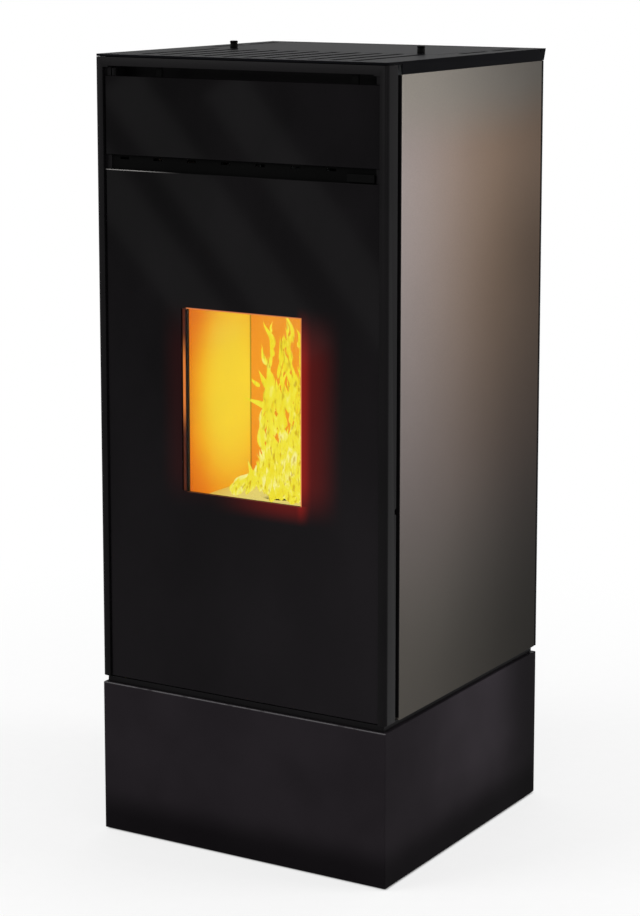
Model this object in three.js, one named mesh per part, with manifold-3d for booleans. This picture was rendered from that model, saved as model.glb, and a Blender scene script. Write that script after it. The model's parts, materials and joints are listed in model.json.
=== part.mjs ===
// A free-standing pellet stove: a slim steel cabinet on a plinth, with a full-height glazed outer
// door, a fire door behind it, a hopper at the back and a screw that feeds a burn pot.
// Millimetres. +X is right, +Y is back, +Z is up. The origin is on the floor, under the middle.

import * as THREE from "three";
import { ConvexGeometry } from "three/addons/geometries/ConvexGeometry.js";
import { mergeVertices } from "three/addons/utils/BufferGeometryUtils.js";
import Module from "manifold-3d";

// ---------------------------------------------------------------- driving dimensions

const WIDTH = 520; // over the cabinet and the plinth
const DEPTH = 510; // plinth and cabinet, without the top's rear lip
const HEIGHT = 1250; // floor to the top face
const REAR_LIP = 8; // how far the top overhangs the back
const PLINTH_TOP = 247;
const CABINET_BASE = 257; // a shadow gap lies between the plinth and this
const TOP_SKIRT = 19; // height of the top's folded edge
const SURROUND_DEPTH = 30; // the outer door, front to back
const DOOR_SEAM = 12.5; // dark recess between the outer door and the side panels
const DOOR_BEND = 6; // radius of the outer door's front edges and of the top above them
const SHEET = 2; // bent sheet steel
const FIT = 0.3; // gap between pieces that touch

const CHAMBER_HALF = 119; // fire chamber between its side linings
const CHAMBER_BACK = -36;
const HEARTH = 552; // top of the hearth plate
const CHAMBER_TOP = 880;
const UPPER_GLASS = [1095, 1217];
const LOWER_GLASS_TOP = 1072;

// ---------------------------------------------------------------- planes that follow from them

const HALF = WIDTH / 2;
const FRONT = -(DEPTH + REAR_LIP) / 2;
const BACK = FRONT + DEPTH;
const LIP_BACK = BACK + REAR_LIP;
const SURROUND_BACK = FRONT + SURROUND_DEPTH;
const PANEL_FRONT = SURROUND_BACK + DOOR_SEAM;
const REAR_FLANGE = 4.1; // folded hem of the rear panel, seen from the side
const PANEL_BACK = BACK - REAR_FLANGE - FIT;
const SKIRT_BASE = HEIGHT - TOP_SKIRT;
const TOP_SHEET = 3.5;
const TOP_UNDERSIDE = HEIGHT - TOP_SHEET;
const BULKHEAD = [PANEL_FRONT + SHEET + FIT, PANEL_FRONT + SHEET + FIT + 3];
const BASE_PLATE = [CABINET_BASE, CABINET_BASE + 3];
const INNER_HALF = HALF - SHEET - FIT;

// ---------------------------------------------------------------- solids

const wasm = await Module();
wasm.setup();

// A closed three.js geometry as a solid, turned to face out.
function solid(geometry) {
  const bare = geometry.clone();
  bare.deleteAttribute("normal");
  bare.deleteAttribute("uv");
  const merged = mergeVertices(bare, 1e-4);
  const vertProperties = merged.attributes.position.array;
  const triVerts = new Uint32Array(merged.index.array);
  const made = new wasm.Manifold(new wasm.Mesh({ numProp: 3, vertProperties, triVerts }));
  if (made.volume() >= 0) return made;
  for (let i = 0; i < triVerts.length; i += 3) {
    [triVerts[i + 1], triVerts[i + 2]] = [triVerts[i + 2], triVerts[i + 1]];
  }
  return new wasm.Manifold(new wasm.Mesh({ numProp: 3, vertProperties, triVerts }));
}

const join = (first, ...others) => others.reduce((whole, piece) => whole.add(piece), first);
const cut = (first, ...others) => others.reduce((whole, tool) => whole.subtract(tool), first);

function block([x0, x1], [y0, y1], [z0, z1]) {
  const box = new THREE.BoxGeometry(x1 - x0, y1 - y0, z1 - z0);
  return solid(box.translate((x0 + x1) / 2, (y0 + y1) / 2, (z0 + z1) / 2));
}

// The same block on the left and on the right.
const mirrored = ([x0, x1], y, z) => [block([x0, x1], y, z), block([-x1, -x0], y, z)];

// A cylinder along one axis; at holds its two other coordinates in x, y, z order.
function rod(axis, radius, [from, to], at, sides = 24) {
  const cylinder = new THREE.CylinderGeometry(radius, radius, to - from, sides);
  const middle = (from + to) / 2;
  if (axis === "x") cylinder.rotateZ(-Math.PI / 2).translate(middle, at[0], at[1]);
  if (axis === "y") cylinder.translate(at[0], middle, at[1]);
  if (axis === "z") cylinder.rotateX(Math.PI / 2).translate(at[0], at[1], middle);
  return solid(cylinder);
}

function pipe(axis, outer, inner, [from, to], at, sides = 32) {
  const bore = rod(axis, inner, [from - 1, to + 1], at, sides);
  return cut(rod(axis, outer, [from, to], at, sides), bore);
}

// A profile of [radius, height] points turned about the upright axis.
function turned(profile, sides = 20) {
  const points = profile.map(([r, z]) => new THREE.Vector2(r, z));
  return solid(new THREE.LatheGeometry(points, sides).rotateX(Math.PI / 2));
}

// A flat outline pushed along an axis. Outlines are in (y, z) for x, (x, z) for y and (x, y) for z.
function pushed(outline, axis, [from, to], curveSegments = 4) {
  const shape = outline instanceof THREE.Shape ? outline : new THREE.Shape(toPoints(outline));
  const geometry = new THREE.ExtrudeGeometry(shape, {
    depth: to - from,
    bevelEnabled: false,
    curveSegments,
  });
  const [X, Y, Z] = [
    new THREE.Vector3(1, 0, 0),
    new THREE.Vector3(0, 1, 0),
    new THREE.Vector3(0, 0, 1),
  ];
  const turn = new THREE.Matrix4();
  if (axis === "x") turn.makeBasis(Y, Z, X).setPosition(from, 0, 0);
  if (axis === "y") turn.makeBasis(X, Z, Y.clone().negate()).setPosition(0, to, 0);
  if (axis === "z") turn.setPosition(0, 0, from);
  return solid(geometry.applyMatrix4(turn));
}

const toPoints = (pairs) => pairs.map(([u, v]) => new THREE.Vector2(u, v));

// A rectangle whose named corners are round: fl, fr, br, bl for front or back, left or right.
function roundedOutline([x0, x1], [y0, y1], radii) {
  const { fl = 0, fr = 0, br = 0, bl = 0 } = radii;
  const shape = new THREE.Shape();
  const quarter = Math.PI / 2;
  shape.moveTo(x0 + fl, y0);
  shape.lineTo(x1 - fr, y0);
  if (fr) shape.absarc(x1 - fr, y0 + fr, fr, -quarter, 0);
  shape.lineTo(x1, y1 - br);
  if (br) shape.absarc(x1 - br, y1 - br, br, 0, quarter);
  shape.lineTo(x0 + bl, y1);
  if (bl) shape.absarc(x0 + bl, y1 - bl, bl, quarter, 2 * quarter);
  shape.lineTo(x0, y0 + fl);
  if (fl) shape.absarc(x0 + fl, y0 + fl, fl, 2 * quarter, 3 * quarter);
  return shape;
}

// The solid between two flat rectangles, each [[x0, x1], [y0, y1], z].
function tapered(...levels) {
  const corners = levels.flatMap(([xs, ys, z]) =>
    xs.flatMap((x) => ys.map((y) => new THREE.Vector3(x, y, z))),
  );
  return solid(new ConvexGeometry(corners));
}

const hull = (points) =>
  solid(new ConvexGeometry(points.map((point) => new THREE.Vector3(...point))));

// A span made longer by the same amount at both ends.
const grow = ([from, to], by) => [from - by, to + by];

// count values, pitch apart, centred on middle.
const row = (count, pitch, middle = 0) =>
  Array.from({ length: count }, (_, i) => middle + (i - (count - 1) / 2) * pitch);

// ---------------------------------------------------------------- finishes and the scene graph

const FINISH = {
  black_steel: { color: 0x19191b, roughness: 0.5, metalness: 0.1 },
  top_black: { color: 0x2b2b2e, roughness: 0.38, metalness: 0.1 },
  bronze: { color: 0x7a6a5e, roughness: 0.45, metalness: 0.7 },
  black_glass: { color: 0x08080a, roughness: 0.05, metalness: 0 },
  fire_glass: { color: 0xd8c9a4, roughness: 0.05, metalness: 0, transparent: true, opacity: 0.35 },
  cast_iron: { color: 0x26262a, roughness: 0.7, metalness: 0.4 },
  lining: { color: 0xc4b48e, roughness: 0.9, metalness: 0 },
  zinc: { color: 0x9a9c9e, roughness: 0.4, metalness: 0.9 },
  inner_steel: { color: 0x4a4a4c, roughness: 0.6, metalness: 0.6 },
  rope: { color: 0x5a5650, roughness: 1, metalness: 0 },
  plastic: { color: 0x121214, roughness: 0.45, metalness: 0 },
  ceramic: { color: 0xe6e1d4, roughness: 0.6, metalness: 0 },
};

const stove = new THREE.Group();

// A group whose own origin is its pivot, so that turning it moves its pieces as the joint does.
function assembly(x = 0, y = 0, z = 0) {
  const group = new THREE.Group();
  group.position.set(x, y, z);
  stove.add(group);
  return group;
}

// A solid drawn in the stove's frame, as a named mesh in its assembly.
function place(name, shape, finish, group) {
  const { vertProperties, triVerts } = shape.getMesh();
  const geometry = new THREE.BufferGeometry();
  geometry.setAttribute("position", new THREE.Float32BufferAttribute(vertProperties, 3));
  geometry.setIndex(new THREE.Uint32BufferAttribute(triVerts, 1));
  const { x, y, z } = group.position;
  const flat = geometry.toNonIndexed().translate(-x, -y, -z);
  flat.computeVertexNormals();
  const mesh = new THREE.Mesh(flat, new THREE.MeshStandardMaterial(FINISH[finish]));
  mesh.name = name;
  group.add(mesh);
  return mesh;
}

// ---------------------------------------------------------------- plinth

const plinth = assembly();
const SHELL_BASE = 3; // the feet hold the shell this far off the floor
const SHELL_BEND = 2.5;
const TOP_FLANGE = 30;
const FOOT_INSET = 24;
const PLINTH_VENTS = { count: 9, pitch: 36, half: 11, z: [150, 156] };

function plinthShell() {
  const bends = { fl: SHELL_BEND, fr: SHELL_BEND };
  const outer = roundedOutline([-HALF, HALF], [FRONT, BACK], bends);
  const inside = [HALF - SHEET, FRONT + SHEET];
  return cut(
    pushed(outer, "z", [SHELL_BASE, PLINTH_TOP]),
    block([-inside[0], inside[0]], [inside[1], BACK + 1], [0, PLINTH_TOP - SHEET]),
    block(
      [-HALF + TOP_FLANGE, HALF - TOP_FLANGE],
      [FRONT + TOP_FLANGE, BACK + 1],
      [PLINTH_TOP - SHEET - 1, PLINTH_TOP + 1],
    ),
  );
}

function plinthRearPanel() {
  const top = PLINTH_TOP - SHEET - FIT;
  const flangeHalf = HALF - TOP_FLANGE - FIT;
  const { count, pitch, half, z } = PLINTH_VENTS;
  const vents = row(count, pitch).map((x) => block(grow([x, x], half), [BACK - 5, BACK + 1], z));
  const plate = join(
    block([-INNER_HALF, INNER_HALF], [BACK - SHEET, BACK], [SHELL_BASE + 3, top]),
    block([-flangeHalf, flangeHalf], [BACK - TOP_FLANGE, BACK], [top, PLINTH_TOP]),
  );
  return cut(plate, ...vents);
}

const CHASSIS = {
  x: [-INNER_HALF, INNER_HALF],
  y: [FRONT + SHEET + FIT, BACK - SHEET - FIT],
  z: [16, PLINTH_TOP - SHEET - FIT],
  bar: 30,
  rail: 20,
};
const STUD_TOP = 60; // the feet's threads reach up inside the corner posts
const FOOT_X = HALF - FOOT_INSET;
const FOOT_Y = [FRONT + FOOT_INSET, BACK - FOOT_INSET];

function plinthChassis() {
  const { x, y, z, bar, rail } = CHASSIS;
  const innerX = [x[0] + bar, x[1] - bar];
  const innerY = [y[0] + bar, y[1] - bar];
  const innerZ = [z[0] + rail, z[1] - rail];
  const holes = [-FOOT_X, FOOT_X].flatMap((px) =>
    FOOT_Y.map((py) => rod("z", 5.8, [z[0] - 1, STUD_TOP + 4], [px, py])),
  );
  const bearers = [-85, 85].map((px) =>
    block([px - bar / 2, px + bar / 2], [y[0] + 1, y[1] - 1], [innerZ[1], z[1]]),
  );
  const frame = cut(
    block(x, y, z),
    block([x[0] - 1, x[1] + 1], innerY, innerZ),
    block(innerX, [y[0] - 1, y[1] + 1], innerZ),
    block(innerX, innerY, [z[0] - 1, z[1] + 1]),
  );
  return cut(join(frame, ...bearers), ...holes);
}

// A pad, a lock nut under the chassis and a threaded stud, drawn at its own foot of the stove.
function levellingFoot() {
  const nutTop = CHASSIS.z[0] - FIT;
  const pad = turned([
    [0, 0],
    [16, 0],
    [17, 1.5],
    [17, 4],
    [9, 6.5],
    [0, 6.5],
  ]);
  return join(
    pad,
    rod("z", 9, [nutTop - 8, nutTop], [0, 0], 6),
    rod("z", 5, [1, STUD_TOP], [0, 0], 16),
  );
}

place("plinth_shell", plinthShell(), "black_steel", plinth);
place("plinth_rear_panel", plinthRearPanel(), "black_steel", plinth);
place("plinth_chassis", plinthChassis(), "inner_steel", plinth);
for (const [side, x] of [["left", -FOOT_X], ["right", FOOT_X]]) {
  FOOT_Y.forEach((y, i) => {
    const mesh = place(`foot_${i ? "rear" : "front"}_${side}`, levellingFoot(), "zinc", plinth);
    mesh.position.set(x, y, 0);
  });
}

// ---------------------------------------------------------------- cabinet

const cabinet = assembly();
const RISER_INSET = 6;
const RISER_BAR = 34;
const DOOR_PIVOT = [-HALF + 12, FRONT + 21];
const PIVOT_RADIUS = 4;
const PIVOT_HOLE = 4.5;

function riserFrame() {
  const x = HALF - RISER_INSET;
  const y = [FRONT + RISER_INSET, BACK - RISER_INSET];
  const z = [PLINTH_TOP + FIT, CABINET_BASE - FIT];
  return cut(
    block([-x, x], y, z),
    block([-x + RISER_BAR, x - RISER_BAR], grow(y, -RISER_BAR), grow(z, 1)),
    rod("z", PIVOT_HOLE, grow(z, 1), DOOR_PIVOT),
  );
}

// A side panel is one bent sheet: an outer face with a short return at its front and back edges.
function sidePanel(side) {
  const bend = 3;
  const fold = 17;
  const corner = { fr: bend, br: bend };
  const outer = roundedOutline([HALF - fold, HALF], [PANEL_FRONT, PANEL_BACK], corner);
  const z = [CABINET_BASE, SKIRT_BASE - FIT];
  const inside = [
    [HALF - fold - 1, HALF - SHEET],
    [PANEL_FRONT + SHEET, PANEL_BACK - SHEET],
    [z[0] - 1, z[1] + 1],
  ];
  const right = cut(pushed(outer, "z", z), block(...inside));
  return side > 0 ? right : right.mirror([1, 0, 0]);
}

// Places on the rear that several pieces share: [x, z] and radius.
const FLUE = { at: [-5, 375], outer: 40, inner: 38 };
const AIR = { at: [-70, 500], outer: 25, inner: 23.5 };
const PIPE_END = 255; // both pipes end here, proud of the back
const INLET = { x: [-178, -146], z: [296, 324] };
const SWITCH = { x: [-134, -112], z: [299, 321] };
const RECESS = { half: 220, z: [CABINET_BASE + 25, 1190], plate: [212, 214] };
const LOUVRE_PITCH = 20;
const LOUVRES = [
  { count: 8, middle: 135, z: [295, 345] },
  { count: 12, middle: 0, z: [1060, 1150] },
];

function rearPanel() {
  const z = [CABINET_BASE + FIT, SKIRT_BASE - FIT];
  const { half, plate } = RECESS;
  const through = [plate[0] - 2, BACK + 1];
  const louvres = LOUVRES.flatMap(({ count, middle, z: heights }) =>
    row(count, LOUVRE_PITCH, middle).map((x) => block(grow([x, x], LOUVRE_PITCH / 4), through, heights)),
  );
  const tray = cut(
    join(
      block([-HALF, HALF], [BACK - REAR_FLANGE, BACK], z),
      block([-half - SHEET, half + SHEET], [plate[0], BACK - 1], grow(RECESS.z, SHEET)),
    ),
    block([-half, half], [plate[1], BACK + 1], RECESS.z),
  );
  return cut(
    tray,
    rod("y", FLUE.outer + 0.6, through, FLUE.at, 32),
    rod("y", AIR.outer + 0.6, through, AIR.at, 32),
    block(INLET.x, through, INLET.z),
    block(SWITCH.x, through, SWITCH.z),
    ...louvres,
  );
}

// Fire opening and ash opening in the bulkhead, and the lugs that carry the fire door.
const FIRE_HOLE = { half: CHAMBER_HALF + 2, z: [548, 868] };
const ASH_HOLE = { half: 118, z: [BASE_PLATE[1] + 42, BASE_PLATE[1] + 150] };
const AIR_HOLES = [1062, 1100]; // heights of a row of them, behind the slot between the glasses
const FIRE_PIVOT = [-146, -220];
const FIRE_HINGE = { at: [590, 830], half: 15, radius: 5, pin: 3, lug: 6, clearance: 0.5 };

function fireHingeBore() {
  const { at, half, pin, lug } = FIRE_HINGE;
  const past = half + lug + 5;
  return rod("z", pin + 0.4, [at[0] - past, at[1] + past], FIRE_PIVOT);
}

// Two upright wings close the seam behind the outer door: each has a lip in front of its side
// panel's fold, so that the seam is black. A keeper takes the fire door's cam.
const WING = { x: [231.5, 233.5], front: FRONT + 19, lip: [PANEL_FRONT - 1.8, PANEL_FRONT - FIT] };
const KEEPER = { x: [167, 192], z: [714, 742], reach: 8, plate: 3.5, post: 6 };

function frontBulkhead() {
  const [y0, y1] = BULKHEAD;
  const through = [y0 - 1, y1 + 1];
  const wingZ = [BASE_PLATE[1] + 1.5, SKIRT_BASE - 1];
  const wings = [
    ...mirrored(WING.x, [WING.front, y0 + 1], wingZ),
    ...mirrored([WING.x[0], HALF - 0.5], WING.lip, wingZ),
  ];
  const { x, z, reach, plate, post } = KEEPER;
  const keeper = join(
    block([x[1] - post, x[1]], [y0 - reach, y0 + 1], z),
    block(x, [y0 - reach, y0 - reach + plate], z),
  );
  const { at, half, radius, lug, clearance } = FIRE_HINGE;
  const [pinX, pinY] = FIRE_PIVOT;
  const lugs = at.flatMap((height) =>
    [-1, 1].map((end) => {
      const middle = height + end * (half + clearance + lug / 2);
      const span = grow([middle, middle], lug / 2);
      const leaf = block([pinX - radius, pinX + radius], [pinY, y0 + 1], span);
      return join(rod("z", radius, span, FIRE_PIVOT), leaf);
    }),
  );
  const airHoles = row(11, 40).map((middle) => block(grow([middle, middle], 15), through, AIR_HOLES));
  return cut(
    join(
      block([-INNER_HALF, INNER_HALF], BULKHEAD, [BASE_PLATE[1] + FIT, SKIRT_BASE - FIT]),
      ...lugs,
      ...wings,
      keeper,
    ),
    block([-FIRE_HOLE.half, FIRE_HOLE.half], through, FIRE_HOLE.z),
    block([-ASH_HOLE.half, ASH_HOLE.half], through, ASH_HOLE.z),
    fireHingeBore(),
    ...airHoles,
  );
}

// The lid fills the middle of the rear half of the top; slots let warm air out in front and beside it.
const LID = { half: 208, y: [-12, 237] };
const LID_OPENING = { half: LID.half + 1.5, y: [LID.y[0] - 1.5, 243] };
const LID_AXIS = [240, HEIGHT - 3.2]; // in the gap behind the lid, below the top face
const HINGE = { radius: 2.4, bore: 1.5, pin: 1.1, at: [-140, 140] };

// Hinge knuckles at one lid hinge: the lid has the middle one and the top has the two outer ones.
function knuckle([x0, x1], [y0, y1]) {
  const leaf = block([x0, x1], [y0, y1], [TOP_UNDERSIDE + FIT, HEIGHT - 1]);
  return join(rod("x", HINGE.radius, [x0, x1], LID_AXIS, 16), leaf);
}

function hingeBore() {
  return rod("x", HINGE.bore, [-HALF, HALF], LID_AXIS, 16);
}

function topPlate() {
  const slots = row(11, 38).map((x) => slot(grow([x, x], 6), [FRONT + 22, -24]));
  const flankSlots = [-228, 228].flatMap((x) =>
    [[22, 112], [132, 222]].map((y) => slot(grow([x, x], 5), y)),
  );
  const skirtBack = BACK + 1;
  const folded = [
    [PANEL_FRONT, SKIRT_BASE],
    [skirtBack, SKIRT_BASE],
    [LIP_BACK, HEIGHT],
    [FRONT, HEIGHT],
    [FRONT, TOP_UNDERSIDE],
    [PANEL_FRONT, TOP_UNDERSIDE],
  ];
  const hollow = [
    [PANEL_FRONT - 1, SKIRT_BASE - 1],
    [skirtBack - 2.7, SKIRT_BASE - 1],
    [LIP_BACK - 3.8, TOP_UNDERSIDE],
    [PANEL_FRONT - 1, TOP_UNDERSIDE],
  ];
  const knuckles = HINGE.at.flatMap((x) =>
    [x - 15, x + 15].map((at) => knuckle([at - 5.5, at + 5.5], [LID_AXIS[0], LID_OPENING.y[1] + 1])),
  );
  const bends = { fl: DOOR_BEND, fr: DOOR_BEND };
  const plan = roundedOutline([-HALF, HALF], [FRONT, LIP_BACK], bends);
  const sheet = cut(
    pushed(folded, "x", [-HALF, HALF]),
    pushed(hollow, "x", [-HALF + 2.5, HALF - 2.5]),
    block([-LID_OPENING.half, LID_OPENING.half], LID_OPENING.y, [TOP_UNDERSIDE - 1, HEIGHT + 1]),
    rod("z", PIVOT_HOLE, [TOP_UNDERSIDE - 1, HEIGHT - 1.3], DOOR_PIVOT),
    ...slots,
    ...flankSlots,
  ).intersect(pushed(plan, "z", grow([SKIRT_BASE, HEIGHT], 1)));
  return cut(join(sheet, ...knuckles), hingeBore());
}

// A slot with round ends through the top sheet.
function slot([x0, x1], [y0, y1]) {
  const radius = (x1 - x0) / 2;
  const round = { fl: radius, fr: radius, br: radius, bl: radius };
  const outline = roundedOutline([x0, x1], [y0, y1], round);
  return pushed(outline, "z", [TOP_UNDERSIDE - 1, HEIGHT + 1], 3);
}

const pivotPin = (z) => rod("z", PIVOT_RADIUS, z, DOOR_PIVOT);
const MAGNET = { x: [237, 242.6], front: FRONT + 12.4, z: [640, 670] };

place("riser_frame", riserFrame(), "black_steel", cabinet);
place(
  "base_plate",
  block([-INNER_HALF, INNER_HALF], [BULKHEAD[0], PANEL_BACK - SHEET - FIT], BASE_PLATE),
  "zinc",
  cabinet,
);
place("side_panel_left", sidePanel(-1), "bronze", cabinet);
place("side_panel_right", sidePanel(1), "bronze", cabinet);
place("rear_panel", rearPanel(), "black_steel", cabinet);
place("front_bulkhead", frontBulkhead(), "black_steel", cabinet);
place("top_plate", topPlate(), "top_black", cabinet);
place("door_pivot_lower", pivotPin([PLINTH_TOP + 1, CABINET_BASE + 13]), "zinc", cabinet);
place("door_pivot_upper", pivotPin([HEIGHT - 19, HEIGHT - 1.6]), "zinc", cabinet);
place("door_magnet", block(MAGNET.x, [MAGNET.front, WING.lip[0] - FIT], MAGNET.z), "plastic", cabinet);

// ---------------------------------------------------------------- outer door

const outerDoor = assembly(...DOOR_PIVOT, 0);
const DOOR = {
  z: [CABINET_BASE + 1, TOP_UNDERSIDE - 0.8],
  jamb: 14, // width of the upright edge that frames the glass
  ledge: 10, // strip behind the glass that it is bonded to
  block: 18, // height of the solid blocks that the pivot pins turn in
  glassBack: FRONT + 8.5,
  header: HEIGHT - 20, // underside of the front strip above the upper glass
};
const GLASS_HALF = HALF - DOOR.jamb - 0.5;
const GLASS = [DOOR.glassBack - 4.4, DOOR.glassBack - 0.4];
const RAIL = { z: [1066, 1101], slotZ: [1088, 1092], slot: 16, pitch: 62, firstSlot: -213 };
const NOTCH = { radius: 5, z: 583 };
const BRACKETS = { left: [-151, -141], right: [194, 206] };
const RECEIVER = { x: [188, 235], y: [DOOR.glassBack - 3.5, DOOR.glassBack + 1.2], z: [1074, 1086] };

function outerDoorFrame() {
  const [z0, z1] = DOOR.z;
  const bayHalf = HALF - DOOR.jamb;
  const ledgeBack = DOOR.glassBack + 3.5;
  const back = SURROUND_BACK + 1;
  const bends = { fl: DOOR_BEND, fr: DOOR_BEND };
  const outline = roundedOutline([-HALF, HALF], [FRONT, SURROUND_BACK], bends);
  const skinHalf = HALF - SHEET;
  const innerZ = [z0 + SHEET, z1 - SHEET];
  const hollow = join(
    block([-skinHalf, skinHalf], [ledgeBack, back], innerZ),
    ...mirrored([bayHalf + SHEET, skinHalf], [FRONT + SHEET + 1, back], innerZ),
    block([-bayHalf, bayHalf], [FRONT + SHEET, back], [DOOR.header + SHEET, z1 - SHEET]),
  );
  const pivotX = [-skinHalf - 1, DOOR_PIVOT[0] + 10];
  const pivotY = [FRONT + SHEET, SURROUND_BACK];
  const pivotBlocks = [[z0, z0 + DOOR.block], [z1 - DOOR.block, z1]].map((z) =>
    block(pivotX, pivotY, z),
  );
  const openHalf = bayHalf - DOOR.ledge;
  return cut(
    pushed(outline, "z", DOOR.z),
    block([-bayHalf, bayHalf], [FRONT - 1, DOOR.glassBack], [z0 - 1, DOOR.header]),
    block([-openHalf, openHalf], [FRONT, back], [z0 + DOOR.block, DOOR.header + SHEET]),
    cut(hollow, ...pivotBlocks),
    rod("z", PIVOT_HOLE, [z0 - 1, CABINET_BASE + 15], DOOR_PIVOT),
    rod("z", PIVOT_HOLE, [HEIGHT - 21, z1 + 1], DOOR_PIVOT),
    rod("x", NOTCH.radius, [HALF - 10, HALF + 1], [SURROUND_BACK, NOTCH.z], 20),
  );
}

const glassPane = (z) => block([-GLASS_HALF, GLASS_HALF], GLASS, z);

function slotRail() {
  const half = HALF - DOOR.jamb - DOOR.ledge - FIT;
  const y = [DOOR.glassBack + 1.5, DOOR.glassBack + 4];
  const slots = Array.from({ length: 7 }, (_, i) => {
    const x = RAIL.firstSlot + i * RAIL.pitch;
    return block([x - RAIL.slot / 2, x + RAIL.slot / 2], [y[0] - 1, y[1] + 1], RAIL.slotZ);
  });
  return cut(block([-half, half], y, RAIL.z), ...slots);
}

function glassBracket([x0, x1]) {
  const y = [DOOR.glassBack - 0.1, DOOR.glassBack + 2.9];
  return block([x0, x1], y, [UPPER_GLASS[1] - 17, DOOR.z[1] - SHEET - FIT]);
}

place("outer_door_frame", outerDoorFrame(), "black_steel", outerDoor);
place("lower_glass", glassPane([DOOR.z[0] + 0.5, LOWER_GLASS_TOP]), "black_glass", outerDoor);
place("upper_glass", glassPane(UPPER_GLASS), "black_glass", outerDoor);
place("slot_rail", slotRail(), "black_steel", outerDoor);
place("glass_bracket_left", glassBracket(BRACKETS.left), "black_steel", outerDoor);
place("glass_bracket_right", glassBracket(BRACKETS.right), "black_steel", outerDoor);
place("receiver_block", block(RECEIVER.x, RECEIVER.y, RECEIVER.z), "plastic", outerDoor);

// ---------------------------------------------------------------- fire door

const fireDoor = assembly(...FIRE_PIVOT, 0);
const FIRE_DOOR = { half: 140, z: [535, 885], y: [FRONT + 34, BULKHEAD[0] - FIT] };
const FIRE_WINDOW = { half: 115, z: [555, 860] };
const REBATE = 6.3; // how far the glass laps behind the window's edge
const GROOVE = { inset: 12.7, width: 6.6, depth: 4 };
const LEVER = { x: 150, z: 710, grip: 80, cam: 30 };

// A flat ring seen from the front: outer half width and height range, and how wide its bar is.
function ring(half, [z0, z1], bar, y) {
  const past = [y[0] - 1, y[1] + 1];
  return cut(
    block([-half, half], y, [z0, z1]),
    block([-half + bar, half - bar], past, [z0 + bar, z1 - bar]),
  );
}

function fireDoorFrame() {
  const [y0, y1] = FIRE_DOOR.y;
  const { half, z } = FIRE_WINDOW;
  const reach = GROOVE.inset + GROOVE.width;
  const groove = ring(half + reach, grow(z, reach), GROOVE.width, [y1 - GROOVE.depth, y1 + 1]);
  const lug = block([FIRE_DOOR.half - 1, LEVER.x + 8], [y0, y1 - 3], [LEVER.z - 15, LEVER.z + 15]);
  const [pinX, pinY] = FIRE_PIVOT;
  const knuckles = FIRE_HINGE.at.flatMap((middle) => {
    const span = grow([middle, middle], FIRE_HINGE.half);
    return [
      rod("z", FIRE_HINGE.radius, span, FIRE_PIVOT),
      block([pinX, -FIRE_DOOR.half + 1], grow([pinY, pinY], 3), span),
    ];
  });
  return cut(
    join(block([-FIRE_DOOR.half, FIRE_DOOR.half], FIRE_DOOR.y, FIRE_DOOR.z), lug, ...knuckles),
    block([-half, half], [y0 - 1, y1 + 1], z),
    block([-half - REBATE, half + REBATE], [y1 - 4.8, y1 + 1], grow(z, REBATE)),
    groove,
    fireHingeBore(),
    rod("y", 4.5, [y0 - 1, y1], [LEVER.x, LEVER.z]),
  );
}

function fireDoorGlass() {
  const lap = REBATE - FIT;
  const half = FIRE_WINDOW.half + lap;
  return block([-half, half], [FIRE_DOOR.y[1] - 4.5, FIRE_DOOR.y[1] - 0.5], grow(FIRE_WINDOW.z, lap));
}

function fireDoorSeal() {
  const reach = GROOVE.inset + GROOVE.width - FIT;
  const y = [FIRE_DOOR.y[1] - GROOVE.depth + FIT, FIRE_DOOR.y[1]];
  return ring(FIRE_WINDOW.half + reach, grow(FIRE_WINDOW.z, reach), GROOVE.width - 2 * FIT, y);
}

// The lever hangs in front of the frame; its cam lies between the frame's lug and the bulkhead.
function fireDoorHandle() {
  const [y0, y1] = FIRE_DOOR.y;
  const { x, z } = LEVER;
  const grip = new THREE.Shape();
  grip.absarc(x, z, 9, 0, Math.PI);
  grip.lineTo(x - 6, z - LEVER.grip);
  grip.absarc(x, z - LEVER.grip, 6, Math.PI, 2 * Math.PI);
  grip.closePath();
  const cam = [
    [x - 6, z - 7],
    [x + 7, z - 7],
    [x + 7, z + 4],
    [x + 5, z + LEVER.cam],
    [x - 5, z + LEVER.cam],
    [x - 7, z + 4],
  ];
  return join(
    pushed(grip, "y", [y0 - 12, y0 - 5]),
    rod("y", 4, [y0 - 6, y1 - 0.6], [x, z]),
    pushed(cam, "y", [y1 - 2.6, y1 - 0.6]),
  );
}

place("fire_door_frame", fireDoorFrame(), "cast_iron", fireDoor);
place("fire_door_glass", fireDoorGlass(), "fire_glass", fireDoor);
place("fire_door_seal", fireDoorSeal(), "rope", fireDoor);
place("fire_door_handle", fireDoorHandle(), "zinc", fireDoor);
place(
  "fire_door_hinge_pin",
  rod("z", FIRE_HINGE.pin, grow(FIRE_HINGE.at, FIRE_HINGE.half + 9), FIRE_PIVOT),
  "zinc",
  cabinet,
);

// ---------------------------------------------------------------- fire chamber

const fire = assembly();
const SHELL = {
  half: CHAMBER_HALF + 12,
  wall: 2.7,
  y: [BULKHEAD[1] + FIT, CHAMBER_BACK + 15],
  z: [BASE_PLATE[1] + 40, CHAMBER_TOP + 20],
};
const SHELL_INNER = SHELL.half - SHELL.wall;
const POT = { at: [0, -120], radius: 46, wall: 4, floor: HEARTH - 58 };
const CHUTE = { half: 26, z: [690, 742] };
const SMOKE_GAP = { x: [58, 108], z: [860, 882] }; // smoke leaves the chamber's back wall here
const HEARTH_PLATE = 8;
const IGNITER = { z: POT.floor + 14, radius: 6, collar: 11, hole: 7 };

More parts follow.
